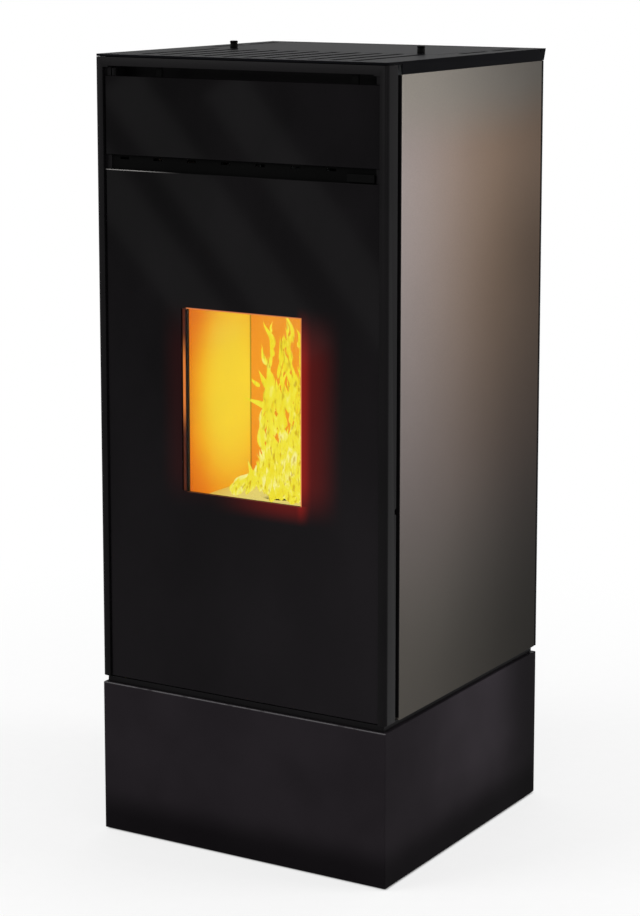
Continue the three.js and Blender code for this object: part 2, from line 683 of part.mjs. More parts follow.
function fireboxShell() {
  const { half, wall, y, z } = SHELL;
  const ledgeZ = [HEARTH - HEARTH_PLATE - 6, HEARTH - HEARTH_PLATE - FIT];
  const ledges = mirrored([SHELL_INNER - 9, SHELL_INNER + 1], [y[0], y[1] - 1], ledgeZ);
  const rearPast = [y[1] - wall - 1, y[1] + 1];
  return cut(
    join(
      cut(
        block([-half, half], y, z),
        block([-SHELL_INNER, SHELL_INNER], [y[0] - 1, y[1] - wall], [z[0] + wall, z[1] - wall]),
      ),
      ...ledges,
    ),
    block([-CHUTE.half + 2, CHUTE.half - 2], rearPast, [CHUTE.z[0] + 2, CHUTE.z[1] - 2]),
    rod("y", AIR.inner, rearPast, AIR.at),
    rod("y", IGNITER.hole, rearPast, [POT.at[0], IGNITER.z]),
    block(SMOKE_GAP.x, rearPast, [SMOKE_GAP.z[0], SMOKE_GAP.z[1] + 2]),
  );
}

const liningZ = [HEARTH + FIT, CHAMBER_TOP - FIT];
const LINING_FRONT = BULKHEAD[1] + 4;

function sideLining(side) {
  const x = [CHAMBER_HALF, SHELL_INNER - FIT];
  const right = block(x, [LINING_FRONT, SHELL.y[1] - SHELL.wall - FIT], liningZ);
  return side > 0 ? right : right.mirror([1, 0, 0]);
}

function backLining() {
  const y = [CHAMBER_BACK, SHELL.y[1] - SHELL.wall - FIT];
  const half = CHAMBER_HALF - FIT;
  return cut(
    block([-half, half], y, liningZ),
    block([-CHUTE.half, CHUTE.half], [y[0] - 1, y[1] + 1], CHUTE.z),
    block(SMOKE_GAP.x, [y[0] - 1, y[1] + 1], [SMOKE_GAP.z[0] - 2, CHAMBER_TOP]),
  );
}

const ASH_SLOT = { x: [-70, 70], y: [-200, -178] };

// The hearth plate rests on the ledges and holds the pot; ash drops through its front slot.
function hearthPlate() {
  const y = [SHELL.y[0] + 0.5, SHELL.y[1] - SHELL.wall - FIT];
  const half = SHELL_INNER - FIT;
  const past = [HEARTH - HEARTH_PLATE - 1, HEARTH + 1];
  return cut(
    block([-half, half], y, [HEARTH - HEARTH_PLATE, HEARTH]),
    rod("z", POT.radius + 1, past, POT.at, 32),
    block(ASH_SLOT.x, ASH_SLOT.y, past),
  );
}

const POT_HOLES = { count: 8, ring: 24, bore: 3.5 }; // air rises through them

function burnPot() {
  const { radius, wall, floor } = POT;
  const rim = radius + 8;
  const cup = turned(
    [
      [0, floor],
      [radius, floor],
      [radius, HEARTH + FIT],
      [rim, HEARTH + FIT],
      [rim, HEARTH + 5],
      [radius - wall, HEARTH + 5],
      [radius - wall, floor + 5],
      [0, floor + 5],
    ],
    32,
  );
  const { count, ring, bore } = POT_HOLES;
  const holes = Array.from({ length: count }, (_, i) => {
    const angle = (i * 2 * Math.PI) / count;
    return rod("z", bore, [floor - 1, floor + 6], [ring * Math.cos(angle), ring * Math.sin(angle)], 8);
  });
  return cut(cup, ...holes).translate([POT.at[0], POT.at[1], 0]);
}

const ASH_DRAWER = { half: 112, height: 92, wall: 1.5, face: 116, pull: { half: 45, bar: 8, z: [45, 53] } };

function ashDrawer() {
  const { half, height, wall, face, pull } = ASH_DRAWER;
  const floor = SHELL.z[0] + SHELL.wall + FIT;
  const top = floor + height;
  const y = [BULKHEAD[1] + 2, CHAMBER_BACK - 6];
  const front = BULKHEAD[0];
  const pullZ = pull.z.map((z) => floor + z);
  const tray = cut(
    block([-half, half], y, [floor, top]),
    block([-half + wall, half - wall], grow(y, -wall), [floor + wall, top + 1]),
  );
  const plate = block([-face, face], [front - 1, y[0] + 0.5], [floor + 2, top + 5]);
  const handle = cut(
    block([-pull.half, pull.half], [front - 13, front], pullZ),
    block([-pull.half + pull.bar, pull.half - pull.bar], [front - 9, front - 1], grow(pullZ, 1)),
  );
  return join(tray, plate, handle);
}

// A rod that reaches to the pot, with a collar where it passes through the chamber's back.
function igniter() {
  const { z, radius, collar } = IGNITER;
  const at = [POT.at[0], z];
  return join(
    rod("y", radius, [POT.at[1] + POT.radius + 4, SHELL.y[1] + 20], at, 16),
    rod("y", collar, [SHELL.y[1] + FIT, SHELL.y[1] + 6], at, 16),
  );
}

const FINS = { count: 9, pitch: 30, thick: 3, height: 120, plate: 4 };

// Upright fins on a plate that sits on the chamber; room air passes between them.
function heatExchanger() {
  const y = [SHELL.y[0] + 5, SHELL.y[1] - 1];
  const base = SHELL.z[1] + FIT;
  const { count, pitch, thick, height, plate } = FINS;
  const fins = row(count, pitch).map((x) => block(grow([x, x], thick / 2), y, [base + 1, base + height]));
  return join(block([-SHELL.half + 4, SHELL.half - 4], y, [base, base + plate]), ...fins);
}

place("firebox_shell", fireboxShell(), "inner_steel", fire);
place("lining_left", sideLining(-1), "lining", fire);
place("lining_right", sideLining(1), "lining", fire);
place("lining_back", backLining(), "lining", fire);
place("hearth_plate", hearthPlate(), "cast_iron", fire);
place("burn_pot", burnPot(), "cast_iron", assembly(...POT.at, 0));
place("igniter", igniter(), "ceramic", fire);
place("ash_drawer", ashDrawer(), "zinc", assembly());
place("heat_exchanger", heatExchanger(), "inner_steel", fire);

// ---------------------------------------------------------------- hopper, lid and feed screw

const feed = assembly();
const HOPPER = { half: 196, y: [16, 205], z: [828, 1000, 1236], wall: 1.5, neck: [28, 58, 132] };
const AUGER = { z: 790, outer: 36, inner: 32.5, y: [-14, 150], flight: 30, core: 9, pitch: 44 };

function hopperSolid(inset, past) {
  const { half, y, z, neck } = HOPPER;
  const box = [[-half + inset, half - inset], [y[0] + inset, y[1] - inset]];
  const mouth = [[-neck[0] + inset, neck[0] - inset], [neck[1] + inset, neck[2] - inset]];
  return join(
    tapered([...box, z[1]], [...box, z[2] + past]),
    tapered([...mouth, z[0] + 8], [...box, z[1]]),
    tapered([...mouth, z[0] - past], [...mouth, z[0] + 8]),
  );
}

function hopperBin() {
  const { half, y, z, wall } = HOPPER;
  const flange = block([-half - 10, half + 10], [y[0] - 10, y[1] + 10], [z[2] - wall, z[2]]);
  return cut(join(hopperSolid(0, 0), flange), hopperSolid(wall, 1));
}

// The soft strip on the hopper's flange, under the lid.
function lidSeal() {
  const { half, y, z } = HOPPER;
  const height = [z[2] + FIT, TOP_UNDERSIDE - 0.1];
  const strip = (reach, past) =>
    block(
      [-half - reach, half + reach],
      [y[0] - reach, y[1] + reach],
      [height[0] - past, height[1] + past],
    );
  return cut(strip(9, 0), strip(2, 1));
}

const lid = assembly(0, ...LID_AXIS);
const KNOB = { x: 172, y: 0, radius: 6.5, height: 12 };

function hopperLid() {
  const panel = block([-LID.half, LID.half], LID.y, [TOP_UNDERSIDE + 0.2, HEIGHT]);
  const knuckles = HINGE.at.map((x) => knuckle([x - 9, x + 9], [LID.y[1] - 1, LID_AXIS[0]]));
  return cut(join(panel, ...knuckles), hingeBore());
}

function lidKnob() {
  const { radius, height } = KNOB;
  const base = HEIGHT + FIT;
  return turned([
    [0, base],
    [radius - 0.5, base],
    [radius - 0.5, base + height * 0.55],
    [radius - 2, base + height * 0.62],
    [radius - 2, base + height * 0.72],
    [radius, base + height * 0.78],
    [radius, base + height - 1],
    [radius - 1, base + height],
    [0, base + height],
  ]);
}

// The tube has a mouth under the hopper's neck and an outlet over the chute.
function augerTube() {
  const { z, outer, inner, y } = AUGER;
  return cut(
    rod("y", outer, y, [0, z], 32),
    rod("y", inner, [y[0] + 3, y[1] + 1], [0, z], 32),
    block([-22, 22], [y[0] + 5, 34], [z - outer - 1, z]),
    block([-24, 24], [HOPPER.neck[1] + 4, HOPPER.neck[2] - 4], [z, z + outer + 1]),
  );
}

// A helical flight on a core: a flat section carried round and along the axis.
function augerScrew() {
  const { z, flight, core, y, pitch } = AUGER;
  const span = [y[0] + 10, y[1] - 6];
  const thick = 3;
  const turns = (span[1] - span[0] - thick) / pitch;
  const steps = Math.round(turns * 14);
  const positions = [];
  for (let i = 0; i <= steps; i++) {
    const angle = (i / steps) * turns * 2 * Math.PI;
    const along = span[0] + (i / steps) * turns * pitch;
    for (const [radius, shift] of [[core - 2, 0], [flight, 0], [flight, thick], [core - 2, thick]]) {
      positions.push(radius * Math.cos(angle), along + shift, z + radius * Math.sin(angle));
    }
  }
  const index = [0, 1, 2, 0, 2, 3];
  for (let i = 0; i < steps; i++) {
    for (let j = 0; j < 4; j++) {
      const [a, b] = [4 * i + j, 4 * i + ((j + 1) % 4)];
      index.push(a, a + 4, b, b, a + 4, b + 4);
    }
  }
  const end = 4 * steps;
  index.push(end, end + 2, end + 1, end, end + 3, end + 2);
  const ribbon = new THREE.BufferGeometry();
  ribbon.setAttribute("position", new THREE.Float32BufferAttribute(positions, 3));
  ribbon.setIndex(index);
  return join(
    rod("y", core, [y[0] + 7, y[1] - 3], [0, z], 20),
    solid(ribbon),
    rod("y", 6, [y[0] + 7, y[1] + 12], [0, z], 20),
  );
}

function augerMotor() {
  const back = AUGER.y[1] + FIT;
  return cut(
    join(
      block([-38, 38], [back, back + 25], [AUGER.z - 38, AUGER.z + 38]),
      rod("y", 25, [back + 24, back + 54], [0, AUGER.z]),
    ),
    rod("y", 6.6, [back - 1, back + 14], [0, AUGER.z], 20),
  );
}

// A slanted square pipe from the screw's outlet down to the hole in the chamber's back wall.
function feedChute() {
  const { half, z } = CHUTE;
  const top = AUGER.z - AUGER.outer - FIT;
  const back = SHELL.y[1] + FIT;
  const bend = (inset, past) => {
    const x = half - inset;
    return hull(
      [-x, x].flatMap((px) => [
        [px, back - past, z[0] + inset],
        [px, back - past, z[1] - inset],
        [px, AUGER.y[0] + 1 + inset, top + past],
        [px, 38 - inset, top + past],
      ]),
    );
  };
  return cut(bend(0, 0), bend(2, 0.5));
}

place("hopper", hopperBin(), "zinc", feed);
place("lid_seal", lidSeal(), "rope", feed);
place("hopper_lid", hopperLid(), "top_black", lid);
for (const [side, x] of [["left", -KNOB.x], ["right", KNOB.x]]) {
  place(`lid_knob_${side}`, lidKnob().translate([x, KNOB.y, 0]), "plastic", lid);
}
const hingePinEnd = HINGE.at[1] + 22;
place("lid_hinge_pin", rod("x", HINGE.pin, [-hingePinEnd, hingePinEnd], LID_AXIS, 12), "zinc", cabinet);
place("auger_tube", augerTube(), "inner_steel", feed);
place("auger_screw", augerScrew(), "zinc", assembly(0, 0, AUGER.z));
place("auger_motor", augerMotor(), "zinc", feed);
place("feed_chute", feedChute(), "inner_steel", feed);

// ---------------------------------------------------------------- smoke and air

const air = assembly();
const SMOKE_FAN = { at: [90, 400], radius: 62, y: [12, 62], wheel: 50, eye: 25 };
const ROOM_FAN = { at: [120, 297], radius: 26, half: 122 };

// A flat duct that leads the smoke from the top of the chamber down to the fan's eye.
function smokeDuct() {
  const x = [56, 124];
  const y = [SHELL.y[1] + FIT, SMOKE_FAN.y[0] - FIT];
  const z = [368, 890];
  const wall = 1.5;
  return cut(
    block(x, y, z),
    block([x[0] + wall, x[1] - wall], [y[0] + wall, y[1] - wall], [z[0] + wall, z[1] - wall]),
    block(SMOKE_GAP.x, [y[0] - 1, y[0] + wall + 1], SMOKE_GAP.z),
    rod("y", SMOKE_FAN.eye, [y[1] - wall - 1, y[1] + 1], SMOKE_FAN.at),
  );
}

// A round drum with a side outlet that opens into the flue pipe behind it.
function smokeFanHousing() {
  const { at, radius, y, eye } = SMOKE_FAN;
  const wall = 2;
  const outlet = { x: [-48, 90], z: [330, 420] };
  const inside = [y[0] + wall, y[1] - wall];
  const outer = join(rod("y", radius, y, at, 40), block(outlet.x, y, outlet.z));
  const inner = join(
    rod("y", radius - wall, inside, at, 40),
    block([outlet.x[0] + wall, outlet.x[1]], inside, [outlet.z[0] + wall, outlet.z[1] - wall]),
  );
  return cut(
    outer,
    inner,
    rod("y", eye, [y[0] - 1, y[0] + wall + 1], at),
    rod("y", 8, [y[1] - wall - 1, y[1] + 1], at, 16),
    rod("y", FLUE.inner - 1, [y[1] - wall - 1, y[1] + 1], FLUE.at, 32),
  );
}

function smokeFanWheel() {
  const { at, y, wheel } = SMOKE_FAN;
  const hub = 12;
  const span = [y[0] + 8, y[1] - 9];
  const reach = [hub - 2, wheel];
  const blade = block(reach, span, [-1.25, 1.25]);
  const blades = row(8, 45).map((degrees) =>
    blade.rotate([0, degrees, 0]).translate([at[0], 0, at[1]]),
  );
  return join(
    rod("y", wheel, [span[1] - 1, span[1] + 2], at, 32),
    rod("y", hub, [span[0], span[1] + 1], at, 16),
    rod("y", 5, [span[0], y[1] + 16], at, 16),
    ...blades,
  );
}

function smokeFanMotor() {
  const { at, y } = SMOKE_FAN;
  return cut(rod("y", 36, [y[1] + 4, y[1] + 64], at), rod("y", 5.6, [y[1] + 3, y[1] + 20], at, 16));
}

// A long drum of blades between discs, driven from its right-hand end.
function roomFanWheel() {
  const { at, radius, half } = ROOM_FAN;
  const discs = row(3, half - 6).map((x) => rod("x", radius, [x - 1.5, x + 1.5], at));
  const blades = Array.from({ length: 12 }, (_, i) => {
    const turn = new THREE.Matrix4().makeRotationX((i * Math.PI) / 6);
    const blade = new THREE.BoxGeometry(2 * half - 12, 6, 1.5).translate(0, radius - 4, 0);
    return solid(blade.applyMatrix4(turn)).translate([0, ...at]);
  });
  return join(rod("x", 4, [-half - 1, half + 20], at, 16), ...discs, ...blades);
}

// The scroll round the drum: open at the back where air goes in and at the top where it leaves.
function roomFanHousing() {
  const { at, radius, half } = ROOM_FAN;
  const gap = radius + 5;
  const wall = 1.5;
  const y = [at[0] - gap - wall, at[0] + gap];
  const z = [at[1] - gap - wall, at[1] + gap];
  return cut(
    block([-half - 5, half + 5], y, z),
    block([-half - 5 + wall, half + 5 - wall], [y[0] + wall, y[1] + 1], [z[0] + wall, z[1] + 1]),
    rod("x", 4.6, [-half - 10, half + 10], at, 16),
  );
}

function roomFanMotor() {
  const x = ROOM_FAN.half + 6;
  return cut(rod("x", 27, [x, x + 45], ROOM_FAN.at), rod("x", 4.6, [x - 1, x + 20], ROOM_FAN.at, 16));
}

place("smoke_duct", smokeDuct(), "inner_steel", air);
place("smoke_fan_housing", smokeFanHousing(), "zinc", air);
place("smoke_fan_wheel", smokeFanWheel(), "zinc", assembly(SMOKE_FAN.at[0], 0, SMOKE_FAN.at[1]));
place("smoke_fan_motor", smokeFanMotor(), "inner_steel", air);
const flueLength = [SMOKE_FAN.y[1] + FIT, PIPE_END];
const intakeLength = [SHELL.y[1] + FIT, PIPE_END];
const fluePipe = pipe("y", FLUE.outer, FLUE.inner, flueLength, FLUE.at);
const intakePipe = pipe("y", AIR.outer, AIR.inner, intakeLength, AIR.at);
place("flue_spigot", fluePipe, "black_steel", air);
place("air_intake_pipe", intakePipe, "zinc", air);
place("room_fan_housing", roomFanHousing(), "zinc", air);
place("room_fan_wheel", roomFanWheel(), "zinc", assembly(0, ...ROOM_FAN.at));
place("room_fan_motor", roomFanMotor(), "inner_steel", air);

// ---------------------------------------------------------------- electrics

const electrics = assembly();
const CONTROL_BOX = { x: [160, 250], y: [60, 190], z: [500, 660] };
const ROCKER = {
  x: (SWITCH.x[0] + SWITCH.x[1]) / 2,
  y: 217,
  z: (SWITCH.z[0] + SWITCH.z[1]) / 2,
  tilt: 6, // degrees from level at rest, and as much the other way when pressed
};

// One moulding holds the mains socket, with its three pins, and the frame that the rocker turns in.
function powerInlet() {
  const face = RECESS.plate[1] + FIT;
  const body = ({ x, z }, depth) =>
    block([x[0] + 0.5, x[1] - 0.5], [face - depth, face + 1], [z[0] + 0.5, z[1] - 0.5]);
  const mouth = ({ x, z }, depth, rim) =>
    block([x[0] + rim, x[1] - rim], [face - depth, face + 4], [z[0] + rim, z[1] - rim]);
  const flangeX = [INLET.x[0] - 5, SWITCH.x[1] + 5];
  const flange = block(flangeX, [face, face + 3], grow(INLET.z, 4));
  const middle = [(INLET.x[0] + INLET.x[1]) / 2, (INLET.z[0] + INLET.z[1]) / 2];
  const pins = [[-7, -2], [7, -2], [0, 4]].map(([dx, dz]) =>
    block(
      [middle[0] + dx - 1, middle[0] + dx + 1],
      [face - 21, face - 4],
      [middle[1] + dz - 2, middle[1] + dz + 2],
    ),
  );
  return join(
    cut(join(body(INLET, 22), body(SWITCH, 14), flange), mouth(INLET, 20, 4.5), mouth(SWITCH, 12, 3)),
    ...pins,
  );
}

// The rocker is a shallow V seen from the side, resting with its lower end out: pressing that end
// brings out the other.
function switchRocker() {
  const { x, y, z, tilt } = ROCKER;
  const outline = [
    [-5, -6],
    [2.4, -7],
    [0.8, 0],
    [2.4, 7],
    [-5, 6],
  ];
  const flat = pushed(outline, "x", [-7, 7]);
  return flat.rotate([tilt, 0, 0]).translate([x, y, z]);
}

place("control_box", block(CONTROL_BOX.x, CONTROL_BOX.y, CONTROL_BOX.z), "plastic", electrics);
place("power_inlet", powerInlet(), "plastic", electrics);
place("switch_rocker", switchRocker(), "plastic", assembly(0, ROCKER.y, ROCKER.z));

export default stove;
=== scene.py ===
# %% [markdown]
# # A pellet stove, dressed for the studio
# The solids of the stove come in as a fixed frame: one object for each real piece, already in
# place and already hinged. This lesson gives them their look. Sheet steel gets eased edges,
# glass gets its printed border and clear window, the burn pot gets a fire, and every surface
# gets a material made of nodes. Forms are written in millimetres, because that is how a stove is
# measured, and one small function turns them into Blender's metres. Materials, camera and lamps
# are written in metres from the start.

# %% Load the frame
import json
import math
import random

import bmesh
import bpy
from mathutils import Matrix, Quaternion, Vector


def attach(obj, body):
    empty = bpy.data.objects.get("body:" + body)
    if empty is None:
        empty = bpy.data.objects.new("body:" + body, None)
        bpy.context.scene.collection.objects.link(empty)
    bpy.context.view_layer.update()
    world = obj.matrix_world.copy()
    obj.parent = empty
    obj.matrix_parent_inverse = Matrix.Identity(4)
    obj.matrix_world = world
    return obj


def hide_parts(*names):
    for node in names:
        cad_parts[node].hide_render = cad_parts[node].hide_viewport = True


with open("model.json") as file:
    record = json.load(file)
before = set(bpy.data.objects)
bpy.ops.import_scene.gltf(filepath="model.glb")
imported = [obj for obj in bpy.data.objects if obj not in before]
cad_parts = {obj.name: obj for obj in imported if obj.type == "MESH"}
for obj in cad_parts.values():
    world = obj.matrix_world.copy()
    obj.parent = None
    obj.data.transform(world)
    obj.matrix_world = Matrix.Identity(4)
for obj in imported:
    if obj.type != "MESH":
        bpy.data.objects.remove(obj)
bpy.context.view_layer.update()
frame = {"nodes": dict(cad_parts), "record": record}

nodes, record = frame["nodes"], frame["record"]
body_of = {node: body for body, held in record["behaviour"]["bodies"].items() for node in held}
slot_of = {part["node"]: part["material_slot"] for part in record["subparts"]}


def mm(x, y, z):
    """A point given in millimetres."""
    return Vector((x, y, z)) * 0.001


# %% [markdown]
# ## The camera
# The photograph was taken from the right of the front, from a little above the top, with a long
# lens. Matching the corners of the stove gives the angle, the distance and the focal length.
# The stove's uprights stay almost upright in it, as they do with a lens that is shifted down.
# A small shift keeps some of that and still leaves the stove in frame from any other side.

# %% Camera
YAW, PITCH = math.radians(31.0), math.radians(8.72)
DISTANCE, LENS, SHIFT = 3.997, 97.8, -0.16
AIM = Vector((-0.010, 0, 0.833))

lens = bpy.data.cameras.new("camera")
lens.lens, lens.shift_y = LENS, SHIFT
lens.clip_start, lens.clip_end = 0.1, 200
camera = bpy.data.objects.new("camera", lens)
bpy.context.scene.collection.objects.link(camera)
bpy.context.scene.camera = camera
away = Vector((math.sin(YAW) * math.cos(PITCH), -math.cos(YAW) * math.cos(PITCH), math.sin(PITCH)))
camera.location = AIM + away * DISTANCE
camera.rotation_euler = (-away).to_track_quat("-Z", "Y").to_euler()
print("camera at", tuple(round(v, 3) for v in camera.location))

# %% [markdown]
# ## Writing shader maths as plain expressions
# A material is a graph of nodes. Placing each node by hand hides the idea behind it, so a wire
# from the graph is wrapped in a small class that understands + - and *. An expression such as
# `1 - mask` then adds the Math node by itself, and reads like the sum that it is.

# %% A wire
class Wire:
    """One output of a node, which can be used in arithmetic."""

    def __init__(self, graph, socket):
        self.graph, self.socket = graph, socket

    def __add__(self, other):
        return self.graph.math("ADD", self, other)

    def __sub__(self, other):
        return self.graph.math("SUBTRACT", self, other)

    def __rsub__(self, other):
        return self.graph.math("SUBTRACT", other, self)

    def __mul__(self, other):
        return self.graph.math("MULTIPLY", self, other)

    __radd__ = __add__
    __rmul__ = __mul__


print("a wire understands + - and *")

# %% [markdown]
# ## A graph and its nodes
# A graph object adds every other node, with a method for each thing that the finishes need.
# Marks such as soot or wear are placed by where a point is on the stove. A UV map could do that
# too, but it would have to be unwrapped for each piece, while places run on from one piece to
# the next. Colours are written as screen values and turned into the linear ones of a shader.

# %% A graph and a colour
class Graph:
    """The node graph of one material, or of a world that is passed in."""

    def __init__(self, name, world=None):
        self.material = world or bpy.data.materials.new(name)
        self.material.use_nodes = True
        self.tree = self.material.node_tree
        self.tree.nodes.clear()

    def node(self, kind, settings=None, inputs=None, output=0):
        """Adds a node: its settings first, then the values or wires of its sockets."""
        made = self.tree.nodes.new(kind)
        for key, value in (settings or {}).items():
            if key == "stops":
                self.set_stops(made.color_ramp, value)
            else:
                setattr(made, key, value)
        for key, value in (inputs or {}).items():
            if isinstance(value, Wire):
                self.tree.links.new(value.socket, made.inputs[key])
            else:
                made.inputs[key].default_value = value
        return Wire(self, made.outputs[output])

    @staticmethod
    def set_stops(ramp, stops):
        while len(ramp.elements) < len(stops):
            ramp.elements.new(0.5)
        for element, (position, colour) in zip(ramp.elements, stops):
            element.position, element.color = position, colour

    def math(self, operation, a, b=0.0):
        return self.node("ShaderNodeMath", {"operation": operation}, {0: a, 1: b})

    def clamp(self, value):
        return self.node("ShaderNodeClamp", None, {"Value": value})

    def fade(self, value, start, end):
        """0 where value is start and 1 where it is end, smooth between."""
        settings = {"interpolation_type": "SMOOTHSTEP"}
        return self.node("ShaderNodeMapRange", settings, {"Value": value, "From Min": start, "From Max": end})

    def blend(self, factor, a, b):
        """Colour a where factor is 0, colour b where it is 1."""
        # A Mix node has sockets for each type of data: those for colours are 6, 7 and output 2.
        return self.node("ShaderNodeMix", {"data_type": "RGBA"}, {0: factor, 6: a, 7: b}, 2)

    def shade(self, colour, factor):
        """A colour made darker or lighter by a factor."""
        start = colour if isinstance(colour, Wire) else colour[:3]
        return self.node("ShaderNodeVectorMath", {"operation": "SCALE"}, {0: start, "Scale": factor})

    def ramp(self, factor, *stops):
        """A colour that passes through (position, colour) stops as factor goes from 0 to 1."""
        return self.node("ShaderNodeValToRGB", {"stops": stops}, {"Fac": factor})

    def point(self):
        """Where each point is on the stove, in metres, as one wire."""
        return self.node("ShaderNodeTexCoord", output="Object")

    def place(self):
        """Where each point is on the stove, in metres, as three wires."""
        split = self.node("ShaderNodeSeparateXYZ", None, {0: self.point()}).socket.node
        return [Wire(self, split.outputs[axis]) for axis in "XYZ"]

    def stretched(self, factors):
        """The same as point, multiplied by a factor along each axis."""
        ends = {0: self.point(), 1: factors}
        return self.node("ShaderNodeVectorMath", {"operation": "MULTIPLY"}, ends)

    def noise(self, scale, detail=3.0, stretch=(1, 1, 1)):
        """Soft random patches, with values of 0 to 1."""
        inputs = {"Vector": self.stretched(stretch), "Scale": scale, "Detail": detail}
        return self.node("ShaderNodeTexNoise", None, inputs)

    def cells(self, scale):
        """A random value of 0 to 1 for each cell of a Voronoi pattern."""
        inputs = {"Vector": self.point(), "Scale": scale}
        colour = self.node("ShaderNodeTexVoronoi", None, inputs, "Color")
        return self.node("ShaderNodeSeparateColor", None, {0: colour})

    def bump(self, height, depth, strength=1.0):
        """Bump from a height of 0 to 1 that stands for depth metres."""
        return self.node("ShaderNodeBump", None, {"Height": height, "Distance": depth, "Strength": strength})

    def surface(self, **sockets):
        """Ends the graph in a Principled shader. Socket names use _ for a space."""
        inputs = {key.replace("_", " "): value for key, value in sockets.items()}
        shader = self.node("ShaderNodeBsdfPrincipled", None, inputs)
        self.node_end(shader)
        return self.material

    def node_end(self, shader, kind="ShaderNodeOutputMaterial"):
        end = self.tree.nodes.new(kind)
        self.tree.links.new(shader.socket, end.inputs["Surface"])


def rgb(red, green, blue):
    """A colour from screen values of 0 to 255, as the linear values that a shader uses."""
    def linear(value):
        value /= 255
        return value / 12.92 if value <= 0.04045 else ((value + 0.055) / 1.055) ** 2.4
    return (linear(red), linear(green), linear(blue), 1)


print("graph tools ready")

# %% [markdown]
# ## Black powder coat
# The surround, the plinth and the back are steel with a baked satin coat. It is nearly black,
# with the faint orange-peel skin that powder leaves when it melts. The skin is bump, because
# it is only hundredths of a millimetre high, and the same noise moves the roughness a little.
# The plinth's coat carries painted light. A fine grey line along its upper front edge is a
# painted highlight, a broad lighter band on its flanks is a painted sheen, and it is darker near the
# floor and towards the back as painted shade. A white room mirrors strongly in any coat that is
# seen at a flat angle and would turn these blacks grey, so the gloss of each is set very low.

# %% Powder coats
def powder_coat(name, colour, roughness, gloss, grain=0.00002, plinth=False):
    graph = Graph(name)
    skin = graph.noise(750, 2)
    patches = graph.noise(9, 2)
    tint = graph.blend(graph.fade(patches, 0.3, 0.7), colour, tuple(min(1, 1.22 * v) for v in colour))
    if plinth:
        across, back, up = graph.place()
        flank = graph.fade(graph.math("ABSOLUTE", across), 0.256, 0.259)
        # painted sheen: the flanks are painted lighter in a broad band at mid depth and height
        painted_sheen = flank * graph.fade(back, -0.22, 0.03) * graph.fade(back, 0.22, 0.09)
        painted_sheen = painted_sheen * graph.fade(up, 0.04, 0.15)
        # painted shade: the plinth is darker near the floor and towards the back
        low = 0.4 + 0.6 * graph.fade(up, 0.025, 0.08)
        tint = graph.shade(tint, low * (1 - 0.5 * graph.fade(back, 0.1, 0.25)) * (1 + 0.95 * painted_sheen))
        # painted highlight: a fine, broken grey line along the plinth's upper front edge
        painted_edge_highlight = graph.fade(up, 0.2452, 0.2464) * graph.fade(back, -0.2565, -0.2580)
        tint = graph.blend(painted_edge_highlight * graph.fade(graph.noise(60, 3), 0.2, 0.5), tint, rgb(92, 90, 92))
    return graph.surface(
        Base_Color=tint,
        Roughness=roughness - 0.05 + 0.1 * skin,
        Specular_IOR_Level=gloss,
        Normal=graph.bump(skin, grain),
    )


# painted shade: a darker, duller copy of the satin black for the rail and brackets in the shade of the slots
slot_shade_black = powder_coat("slot_black_coat", rgb(6, 6, 6), 0.6, 0.01)
satin_black = powder_coat("satin_black_coat", rgb(13, 12, 13), 0.42, 0.04)
plinth_black = powder_coat("plinth_black_coat", rgb(31, 28, 31), 0.45, 0.006, plinth=True)
top_black = powder_coat("top_black_coat", rgb(10, 10, 12), 0.42, 0.006, 0.00003)
print("powder coats:", satin_black.name, plinth_black.name, top_black.name)

# %% [markdown]
# ## Bronze side panels
# The sides have a metallic coat: fine flakes of bronze in a clear binder. Each flake tilts its
# own way, so up close the coat sparkles, and from afar it shows a soft cloudy sheen that runs
# from light at the top front to dark at the lower back. Voronoi cells give each flake a
# brightness, and a slow noise gives the clouds. A room to mirror could give the same fall of
# light, but only in one view. Written into the tint, it looks right from any side.

# %% Bronze coat
BRONZE = {  # the coat's tints: lower front, middle and back, along the top, and near the foot
    "cool": rgb(147, 137, 134),
    "warm": rgb(151, 129, 112),
    "grey": rgb(146, 140, 132),
    "olive": rgb(144, 138, 130),
}


def bronze_coat():
    graph = Graph("bronze_metallic_coat")
    _, back, up = graph.place()
    shine = graph.cells(1500)
    clouds = graph.noise(3.2, 3, (1, 1, 0.7))
    warm = graph.fade(back, -0.26, 0.12) * graph.fade(up, 0.25, 0.95)
    tint = graph.blend(warm, BRONZE["cool"], BRONZE["warm"])
    tint = graph.blend(graph.fade(up + 0.06 * clouds, 1.13, 1.25), tint, BRONZE["grey"])
    tint = graph.blend(graph.fade(up, 0.65, 0.3), tint, BRONZE["olive"])
    upright = (0.26 + 0.74 * graph.fade(up, 0.24, 1.07)) * (1 - 0.24 * graph.fade(up, 1.06, 1.25))
    depth = 1 - graph.fade(back, -0.225, 0.28) * (0.71 - 0.15 * graph.fade(up, 0.9, 1.1))
    tone = upright * depth * (0.86 + 0.28 * clouds)
    return graph.surface(
        Base_Color=graph.shade(tint, tone * (0.9 + 0.2 * shine)),
        Metallic=0.8,
        Roughness=0.42 + 0.08 * shine,
        Specular_IOR_Level=0.04,
        Specular_Tint=(0.5, 0.5, 0.5, 1),
        Normal=graph.bump(shine, 0.00001, 0.5),
    )


bronze = bronze_coat()
print("bronze coat ready")

# %% [markdown]
# ## Metals inside
# Zinc-plated sheet shows large pale crystals, bare sheet is dark and a little brushed, and the
# cast pieces have the open grain of a sand mould. Pictures of such metals would need files and a
# UV map, and patterns made of nodes need neither. Voronoi cells are the crystals, noise squeezed
# along the height is the brushing, and fine noise as bump is the grain of the mould.

